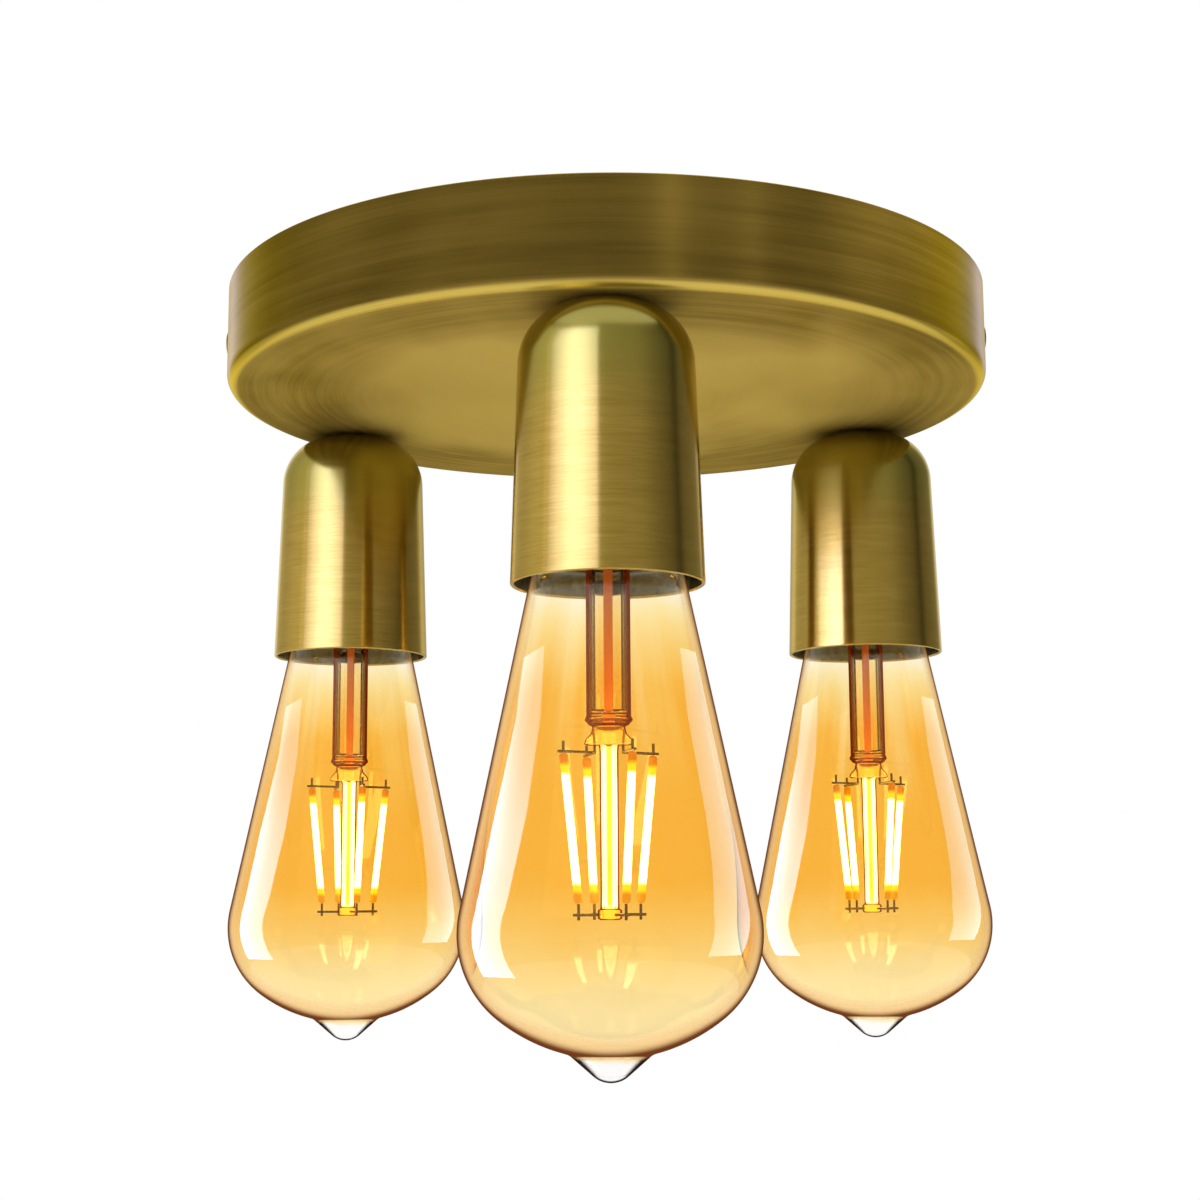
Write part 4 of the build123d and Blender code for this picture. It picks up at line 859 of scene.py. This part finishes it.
def stem_mesh(name, sizes):
    """Flared tube closed by a round foot, with pinch, pillar and hub in one piece of glass.

    Its sections are (height, half width, half depth, squareness).
    """
    wall, pillar, foot = sizes.tube_wall, sizes.pillar, -sizes.hub_bottom
    tube, flare = sizes.tube, -sizes.flare_top
    flare_radius, flare_depth = 11.3 * MM, 4.2 * MM
    around, flare_steps, cup_steps = 64, 12, 9
    pinch = -116.9 * MM

    def flare_sections(top, inset):
        """The trumpet at the stem's top, which narrows to the tube."""
        sections = []
        for step in range(flare_steps + 1):
            share = step / flare_steps
            radius = tube + (1 - share) ** 3 * (flare_radius - tube) - inset
            sections.append((top - share * flare_depth, radius, radius, 2.0))
        return sections

    outer = flare_sections(flare - wall, 0)
    outer += [(pinch + 2.6 * MM, tube, tube, 2.0)]
    outer += eased_sections([
        (pinch + 1.9 * MM, tube, tube, 2.0), (pinch + 0.9 * MM, 5.1 * MM, 5.1 * MM, 2.0),
        (pinch + 0.1 * MM, 4.5 * MM, 4.4 * MM, 2.0), (pinch - 0.6 * MM, 3.5 * MM, 2.4 * MM, 2.3),
        (pinch - 1.6 * MM, 3.7 * MM, 1.95 * MM, 2.8), (pinch - 3.7 * MM, 5.1 * MM, 1.9 * MM, 3.2),
        (pinch - 4.15 * MM, 5.25 * MM, 1.85 * MM, 3.2), (pinch - 4.4 * MM, 4.9 * MM, 1.6 * MM, 3.0),
    ], 5)
    outer += [(pinch - 4.42 * MM, 2.5 * MM, 1.55 * MM, 2.2)]
    outer += eased_sections([
        (pinch - 4.6 * MM, pillar * 1.05, pillar * 1.0, 2.0), (pinch - 6.0 * MM, pillar, pillar, 2.0),
        (foot + 6.0 * MM, pillar * 0.97, pillar * 0.97, 2.0),
        (foot + 2.35 * MM, pillar, pillar, 2.0), (foot + 1.95 * MM, 2.55 * MM, 2.55 * MM, 2.0),
        (foot + 1.2 * MM, 2.6 * MM, 2.6 * MM, 2.0), (foot + 0.35 * MM, 2.55 * MM, 2.55 * MM, 2.0),
        (foot + 0.03 * MM, 2.1 * MM, 2.1 * MM, 2.0),
    ], 4)
    inner = flare_sections(flare, wall)
    cup, cup_depth = pinch + 3.4 * MM, 1.9 * MM
    for step in range(1, cup_steps):
        angle = math.radians(90 * step / cup_steps)
        bore = (tube - wall) * math.cos(angle) ** 0.6
        inner.append((cup - cup_depth * math.sin(angle), bore, bore, 2.0))
    builder = bmesh.new()
    outer_rings = [oval_ring(builder, *section, around) for section in outer]
    inner_rings = [oval_ring(builder, *section, around) for section in inner]
    join_rings(builder, outer_rings)
    join_rings(builder, inner_rings)
    stitch(builder, outer_rings[0], inner_rings[0])
    stitch(builder, outer_rings[-1], [builder.verts.new((0, 0, foot))])
    stitch(builder, inner_rings[-1], [builder.verts.new((0, 0, cup - cup_depth))])
    return finished_mesh(name, builder, 60)


def filament_mesh(name, sizes):
    """Four coated rods with rounded, slightly swollen ends."""
    count, around = 4, 20
    thin, swell, end = sizes.radius, sizes.radius * 1.12, 3.1 * MM
    rows = [(0.0, 0.35), (0.10, 0.70), (0.28, 0.92), (0.6, 1.0), (1.9, 1.0), (2.5, 0.97)]
    builder = bmesh.new()
    for index in range(count):
        heading = sizes.turn + index * math.tau / count
        aim = Vector((math.cos(heading), math.sin(heading), 0))
        top = aim * sizes.top_radius + Vector((0, 0, -sizes.top_drop))
        bottom = aim * sizes.bottom_radius + Vector((0, 0, -sizes.bottom_drop))
        axis = (bottom - top).normalized()
        turn = axis.to_track_quat("Z", "Y").to_matrix()
        length = (bottom - top).length
        profile = [(along * MM, swell * share) for along, share in rows]
        profile += [(end, thin), (length / 2, thin), (length - end, thin)]
        profile += [(length - along * MM, swell * share) for along, share in reversed(rows)]
        rings = []
        for along, radius in profile:
            rings.append([builder.verts.new(top + turn @ Vector(
                (radius * math.cos(angle), radius * math.sin(angle), along)))
                for angle in circle(around)])
        join_rings(builder, rings)
        builder.faces.new(rings[0])
        builder.faces.new(rings[-1])
    return finished_mesh(name, builder, 50)


def repaint(node, finish):
    """Give a solid that keeps its own shape another finish."""
    mesh = frame["nodes"][node].data
    for index in range(len(mesh.materials)):
        mesh.materials[index] = finish
    if not mesh.materials:
        mesh.materials.append(finish)


# ---- Operators ----

class CEILING_OT_canopy(bpy.types.Operator):
    """Build the pressed canopy with its rounded edge and holes"""
    bl_idname = "ceiling_light.canopy"
    bl_label = "Build Canopy"

    def execute(self, context):
        sizes = context.scene.canopy_sizes
        piece = new_piece("brass_canopy", lathe("brass_canopy", canopy_outline(sizes), 256))
        # The cutters go well through the sheet, and end before they meet another wall.
        holes = [(holder_axis(side) + Vector((0, 0, -sizes.height)), (0, 0, 1), sizes.tube_hole,
                  sizes.wall * 6) for side in SIDES]
        holes += [((facing * sizes.radius, 0, -sizes.screw_drop), (1, 0, 0), sizes.screw_hole,
                   sizes.height * 0.75) for facing in (1, -1)]
        cut_holes(piece, holes)
        piece.data.materials.clear()
        piece.data.materials.append(canopy_brass("canopy_brass", sizes))
        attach(piece, "fixture")
        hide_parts("canopy")
        return {"FINISHED"}


class CEILING_OT_covers(bpy.types.Operator):
    """Build the three domed holder covers"""
    bl_idname = "ceiling_light.covers"
    bl_label = "Build Holder Covers"

    def execute(self, context):
        outline, outside = cover_outline(context.scene.cover_sizes)
        inside = raw_brass("cover_inside")
        for index, side in enumerate(SIDES):
            mesh = lathe(f"brass_cover_{side}", outline, 144,
                         finish_of=lambda step: 0 if step < outside else 1)
            mesh.materials.append(cover_brass(f"cover_brass_{side}", 11.0 + 5 * index))
            mesh.materials.append(inside)
            piece = new_piece(f"brass_cover_{side}", mesh, holder_axis(side))
            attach(piece, "fixture")
            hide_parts(f"holder_cover_{side}")
        return {"FINISHED"}


class CEILING_OT_glass(bpy.types.Operator):
    """Build the amber glass of the three lamps"""
    bl_idname = "ceiling_light.glass"
    bl_label = "Build Lamp Glass"

    def execute(self, context):
        outline, outside = bulb_outline(context.scene.glass_sizes)
        skins = [amber_glass("amber_glass", True), amber_glass("amber_glass_inside", False)]
        for side in SIDES:
            mesh = lathe(f"lamp_glass_{side}", outline, 128, sharp=70,
                         finish_of=lambda step: 0 if step < outside else 1)
            for skin in skins:
                mesh.materials.append(skin)
            piece = new_piece(f"lamp_glass_{side}", mesh, holder_axis(side))
            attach(piece, f"bulb_{side}")
            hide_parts(f"bulb_{side}_glass")
        return {"FINISHED"}


class CEILING_OT_stems(bpy.types.Operator):
    """Build the stem, pinch, pillar and hub of each lamp, and finish its exhaust tube"""
    bl_idname = "ceiling_light.stems"
    bl_label = "Build Stems"

    def execute(self, context):
        finish = clear_glass("clear_glass")
        for side in SIDES:
            mesh = stem_mesh(f"lamp_stem_{side}", context.scene.stem_sizes)
            mesh.materials.append(finish)
            piece = new_piece(f"lamp_stem_{side}", mesh, holder_axis(side))
            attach(piece, f"bulb_{side}")
            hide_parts(f"bulb_{side}_stem")
        tube_finish = exhaust_glass("exhaust_glass")
        for side in SIDES:
            repaint(f"bulb_{side}_exhaust_tube", tube_finish)
        return {"FINISHED"}


class CEILING_OT_filaments(bpy.types.Operator):
    """Build the four lit filaments of each lamp"""
    bl_idname = "ceiling_light.filaments"
    bl_label = "Build Filaments"

    def execute(self, context):
        finish = lit_coating("lit_coating")
        for side in SIDES:
            mesh = filament_mesh(f"lamp_filaments_{side}", context.scene.filament_sizes)
            mesh.materials.append(finish)
            piece = new_piece(f"lamp_filaments_{side}", mesh, holder_axis(side))
            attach(piece, f"bulb_{side}")
            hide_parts(f"bulb_{side}_filaments")
        return {"FINISHED"}


class CEILING_OT_fittings(bpy.types.Operator):
    """Finish the bracket, screws, wires, porcelain, caps and other fittings"""
    bl_idname = "ceiling_light.fittings"
    bl_label = "Finish Fittings"

    def execute(self, context):
        finishes = stocked_finishes()
        for row in frame["record"]["subparts"]:
            if row["material_slot"] in finishes:
                repaint(row["node"], finishes[row["material_slot"]])
        return {"FINISHED"}


# ---- Stage ----

# How bright each wall and card is, as (heading in degrees, level).
STUDIO_LEVELS = [(-180, 0.5), (-165, 0.6), (-150, 1.1), (-138, 0.6), (-110, 0.46), (-60, 0.36),
                 (0, 0.25), (60, 0.28), (82, 0.18), (92, 0.08), (102, 0.22), (136, 0.30),
                 (150, 0.9), (165, 0.55), (180, 0.5)]
CANOPY_LEVELS = [(15, 0.0), (18, 0.80), (21, 0.0), (38, 0.0), (41, 0.55), (44, 0.0),
                 (60, 0.0), (80, 0.50), (120, 0.60), (135, 0.0)]
COVER_LEVELS = [(-150, 0.0), (-120, 0.12), (-95, 0.42), (-78, 0.52), (-76, 1.1), (-74, 0.40),
                (0, 0.30), (40, 0.18), (60, 0.02), (90, 0.0)]
KEY_LEVELS = [(-72, 0.16), (-60, 0.52), (-46, 0.9), (-40, 1.0), (-26, 0.85), (-14, 0.55), (-11, 0.5)]

# Each cover's key card: how far it is turned, in degrees, its reach and its strength. They
# stand apart, because a ray that leaves one card would miss another in the same place.
KEY_CARDS = {"front": (0, 1.30, 3.05), "left": (0, 1.34, 3.05), "right": (-13, 1.26, 4.4)}

# The rows of the strips beside each lamp, as (heading in degrees, height in metres) at both ends.
LEFT_STRIP = [((-105, -0.196), (-72, -0.209)), ((-105, -0.146), (-73, -0.141)),
              ((-106, -0.120), (-67, -0.113)), ((-103, -0.094), (-68, -0.088)),
              ((-112, -0.080), (-78, -0.070))]
RIGHT_STRIP = [((65, -0.184), (98, -0.179)), ((70, -0.140), (111, -0.147)),
               ((78, -0.127), (116, -0.135)), ((81, -0.115), (118, -0.123)),
               ((82, -0.089), (120, -0.097)), ((90, -0.073), (122, -0.081))]


def softbox(name, width, height, heading, rise, reach, level, aim=(0, 0, -0.09)):
    """A soft lamp that stands at a heading from the camera's side and faces the fitting."""
    data = bpy.data.lights.new(name, "AREA")
    data.shape = "RECTANGLE"
    data.size, data.size_y = width, height
    data.energy = level * math.pi * width * height
    lamp = bpy.data.objects.new(name, data)
    a, e = math.radians(heading), math.radians(rise)
    away = Vector((math.sin(a) * math.cos(e), -math.cos(a) * math.cos(e), math.sin(e)))
    lamp.location = Vector(aim) + away * reach
    lamp.rotation_euler = away.to_track_quat("Z", "Y").to_euler()
    lamp.visible_camera = False
    bpy.context.scene.collection.objects.link(lamp)
    return lamp


def upright(start, end, low, high):
    """The rows of a card between two headings and two heights."""
    return [((start, low), (end, low)), ((start, high), (end, high))]


def reflector(name, reach, rows, glow_of, receivers=None):
    """A bent card that shows only in reflections. One with receivers lets light pass through.

    Each row is (heading, height) at its start and its end, with headings in degrees from the
    camera's side; glow_of builds the card's colour from its own heading and height.
    """
    steps = 40
    builder = bmesh.new()
    lines = []
    for (start, low), (end, high) in rows:
        line = []
        for step in range(steps + 1):
            share = step / steps
            heading = math.radians(start + (end - start) * share)
            line.append(builder.verts.new((reach * math.sin(heading), -reach * math.cos(heading),
                                           low + (high - low) * share)))
        lines.append(line)
    for before, after in zip(lines, lines[1:]):
        for step in range(steps):
            builder.faces.new([before[step], before[step + 1], after[step + 1], after[step]])
    card = new_piece(name, plain_mesh(name, builder))
    finish = new_finish(name)
    x, y, z = finish.parts(finish.place())
    heading = finish.math("ARCTAN2", x, -y)
    glow = finish.node("ShaderNodeEmission", None, {"Color": glow_of(finish, heading, z)})
    if receivers is not None:
        through = finish.node("ShaderNodeBsdfTransparent")
        glow = finish.node("ShaderNodeAddShader", None, {0: glow, 1: through})
        card.light_linking.receiver_collection = receivers
    finish.node("ShaderNodeOutputMaterial", None, {"Surface": glow})
    finish.owner.cycles.emission_sampling = "NONE"
    card.data.materials.append(finish.owner)
    for flag in ("visible_camera", "visible_diffuse", "visible_transmission", "visible_shadow",
                 "visible_volume_scatter"):
        setattr(card, flag, False)
    return card


def by_heading(levels, tone, strength=1.0):
    """A card's colour that changes with heading: (degrees, level) pairs over a full circle."""
    def glow(finish, heading, z):
        turn = heading / math.tau + 0.5
        stops = [((degrees + 180) / 360, tuple(level * part for part in tone))
                 for degrees, level in levels]
        shade = finish.ramp(turn, stops)
        return finish.scaled(shade, (strength, strength, strength))
    return glow


def on_outer_glass(tone, low, high, faint):
    """A cool card that only the near wall of a lamp's glass reflects, fainter towards its top."""
    def glow(finish, heading, z):
        passes = finish.node("ShaderNodeLightPath", output="Transmission Depth")
        # A ray that comes back from the near wall has passed no more than two skins.
        near = finish.math("LESS_THAN", passes, 2.5)
        fade = finish.fitted(z, low, high, 1.0, faint)
        return finish.blend(near * fade, (0.0, 0.0, 0.0), tone)
    return glow


def group_of(name, pieces):
    """A collection of pieces, by name, that a card may light."""
    group = bpy.data.collections.new(name)
    for piece in pieces:
        group.objects.link(bpy.data.objects[piece])
    return group


class CEILING_OT_stage(bpy.types.Operator):
    """Set the pale floor, the sky, the reflector cards, the soft lamp and the camera"""
    bl_idname = "ceiling_light.stage"
    bl_label = "Set Stage"

    def execute(self, context):
        scene = context.scene
        stage = scene.stage_settings
        self.set_floor(stage.floor_drop)
        self.set_sky(scene)
        self.set_walls()
        self.set_key_cards()
        self.set_strips(Vector(stage.camera_spot))
        fill = softbox("soft_fill", width=1.2, height=1.2, heading=-30, rise=35, reach=1.6, level=0.9)
        fill.visible_glossy = False
        self.set_camera(scene, stage)
        return {"FINISHED"}

    @staticmethod
    def set_walls():
        """A dim warm wall for all, and more walls for the canopy and for the covers alone."""
        warm, blue = (1.0, 0.95, 0.72), (0.45, 0.50, 3.4)
        covers = group_of("lit_covers", [f"brass_cover_{side}" for side in SIDES])
        canopy = group_of("lit_canopy", ["brass_canopy"])
        reflector("studio_wall", 1.7, upright(-180, 180, -0.9, 1.9), by_heading(STUDIO_LEVELS, warm))
        reflector("canopy_wall", 1.6, upright(10, 135, -0.6, 1.2), by_heading(CANOPY_LEVELS, warm),
                  canopy)
        reflector("canopy_edge_left", 1.6, upright(-150, -112, 0.05, 1.2),
                  by_heading([(-150, 1.0), (-112, 0.0)], blue), canopy)
        reflector("canopy_edge_right", 1.6, upright(112, 150, 0.05, 1.2),
                  by_heading([(112, 0.0), (150, 1.0)], blue), canopy)
        reflector("cover_wall", 1.5, upright(-150, 90, -0.8, 1.4), by_heading(COVER_LEVELS, warm),
                  covers)

    @staticmethod
    def set_key_cards():
        """The bright card that each cover shows as its long highlight."""
        cool = (0.88, 0.93, 1.90)
        for side, (turn, reach, strength) in KEY_CARDS.items():
            card = reflector(f"key_card_{side}", reach, upright(-72, -10, -0.55, 1.1),
                             by_heading(KEY_LEVELS, cool, strength),
                             group_of(f"lit_cover_{side}", [f"brass_cover_{side}"]))
            card.rotation_euler.z = math.radians(turn)

    @staticmethod
    def set_strips(camera_spot):
        """Two strips beside each lamp, turned as the lamp is seen from the camera's place."""
        for side in SIDES:
            axis = holder_axis(side)
            toward = camera_spot - axis
            glass = group_of(f"lit_glass_{side}", [f"lamp_glass_{side}"])
            strips = (
                reflector(f"left_strip_{side}", 0.085, LEFT_STRIP,
                          on_outer_glass((4.5, 9.0, 12.2), -0.13, -0.085, 0.40), glass),
                reflector(f"right_strip_{side}", 0.085, RIGHT_STRIP,
                          on_outer_glass((1.5, 5.2, 6.6), -0.18, -0.125, 0.55), glass))
            for strip in strips:
                strip.location = axis
                strip.rotation_euler.z = math.atan2(toward.x, -toward.y)

    @staticmethod
    def set_floor(drop):
        """A pale round floor, far enough below to leave only a soft shadow."""
        builder = bmesh.new()
        bmesh.ops.create_circle(builder, cap_ends=True, segments=96, radius=4.2)
        floor = new_piece("pale_floor", plain_mesh("pale_floor", builder), (0, 0, -drop))
        finish = new_finish("pale_floor")
        wash = finish.cloud(finish.place(), 3.0, 2.0)
        floor.data.materials.append(finish.surface({
            "Base Color": finish.blend(wash, (0.93, 0.93, 0.93), (0.96, 0.96, 0.96)),
            "Roughness": 0.9, "Emission Color": (1, 1, 1, 1), "Emission Strength": 0.26}))
        finish.owner.cycles.emission_sampling = "NONE"

    @staticmethod
    def set_sky(scene):
        """A plain white sky, a little brighter where the camera, metal or glass looks at it."""
        scene.world = bpy.data.worlds.new("studio")
        sky = Finish(scene.world)
        shader = sky.node("ShaderNodeBackground", None, {"Color": (1, 1, 1, 1), "Strength": 0.75})
        for ray, strength in (("Is Glossy Ray", 1.0), ("Is Transmission Ray", 1.05),
                              ("Is Camera Ray", 1.0)):
            white = sky.node("ShaderNodeBackground", None, {"Color": (1, 1, 1, 1), "Strength": strength})
            seen = sky.node("ShaderNodeLightPath", output=ray)
            shader = sky.node("ShaderNodeMixShader", None, {0: seen, 1: shader, 2: white})
        sky.node("ShaderNodeOutputWorld", None, {"Surface": shader})

    @staticmethod
    def set_camera(scene, stage):
        """The camera from its place and its three turns."""
        pitch, turn, roll = stage.camera_aim
        aim = (Matrix.Rotation(turn, 4, "Z") @ Matrix.Rotation(math.pi / 2 + pitch, 4, "X")
               @ Matrix.Rotation(roll, 4, "Z"))
        data = bpy.data.cameras.new("camera")
        data.lens, data.sensor_width = stage.lens, 36
        data.clip_start, data.clip_end = 0.01, 30
        camera = bpy.data.objects.new("camera", data)
        camera.matrix_world = Matrix.Translation(Vector(stage.camera_spot)) @ aim
        scene.collection.objects.link(camera)
        scene.camera = camera
        scene.view_settings.view_transform = "Standard"


class CEILING_PT_panel(bpy.types.Panel):
    """Lists the light's pieces, sizes and colours"""
    bl_idname = "CEILING_PT_panel"
    bl_label = "Ceiling Light"
    bl_space_type = "VIEW_3D"
    bl_region_type = "UI"
    bl_category = "Ceiling Light"

    def draw(self, context):
        for operator in OPERATORS:
            self.layout.operator(operator.bl_idname)
        for key, group in SETTINGS.items():
            box = self.layout.box()
            for field in group.__annotations__:
                box.prop(getattr(context.scene, key), field)


OPERATORS = (CEILING_OT_canopy, CEILING_OT_covers, CEILING_OT_glass, CEILING_OT_stems,
             CEILING_OT_filaments, CEILING_OT_fittings, CEILING_OT_stage)


def register():
    """Register the settings, the operators and the panel."""
    for group in SETTINGS.values():
        bpy.utils.register_class(group)
    for key, group in SETTINGS.items():
        setattr(bpy.types.Scene, key, bpy.props.PointerProperty(type=group))
    for operator in OPERATORS:
        bpy.utils.register_class(operator)
    bpy.utils.register_class(CEILING_PT_panel)


def unregister():
    """Undo what register did."""
    bpy.utils.unregister_class(CEILING_PT_panel)
    for operator in reversed(OPERATORS):
        bpy.utils.unregister_class(operator)
    for key, group in SETTINGS.items():
        delattr(bpy.types.Scene, key)
        bpy.utils.unregister_class(group)


def main():
    """Build the whole light on its stage."""
    register()
    # The stage brings its own lamp and camera.
    for old in list(bpy.data.objects):
        if old.type in ("LIGHT", "CAMERA"):
            bpy.data.objects.remove(old)
    bpy.ops.ceiling_light.canopy()
    bpy.ops.ceiling_light.covers()
    bpy.ops.ceiling_light.glass()
    bpy.ops.ceiling_light.stems()
    bpy.ops.ceiling_light.filaments()
    bpy.ops.ceiling_light.fittings()
    bpy.ops.ceiling_light.stage()


if __name__ == "__main__":
    main()
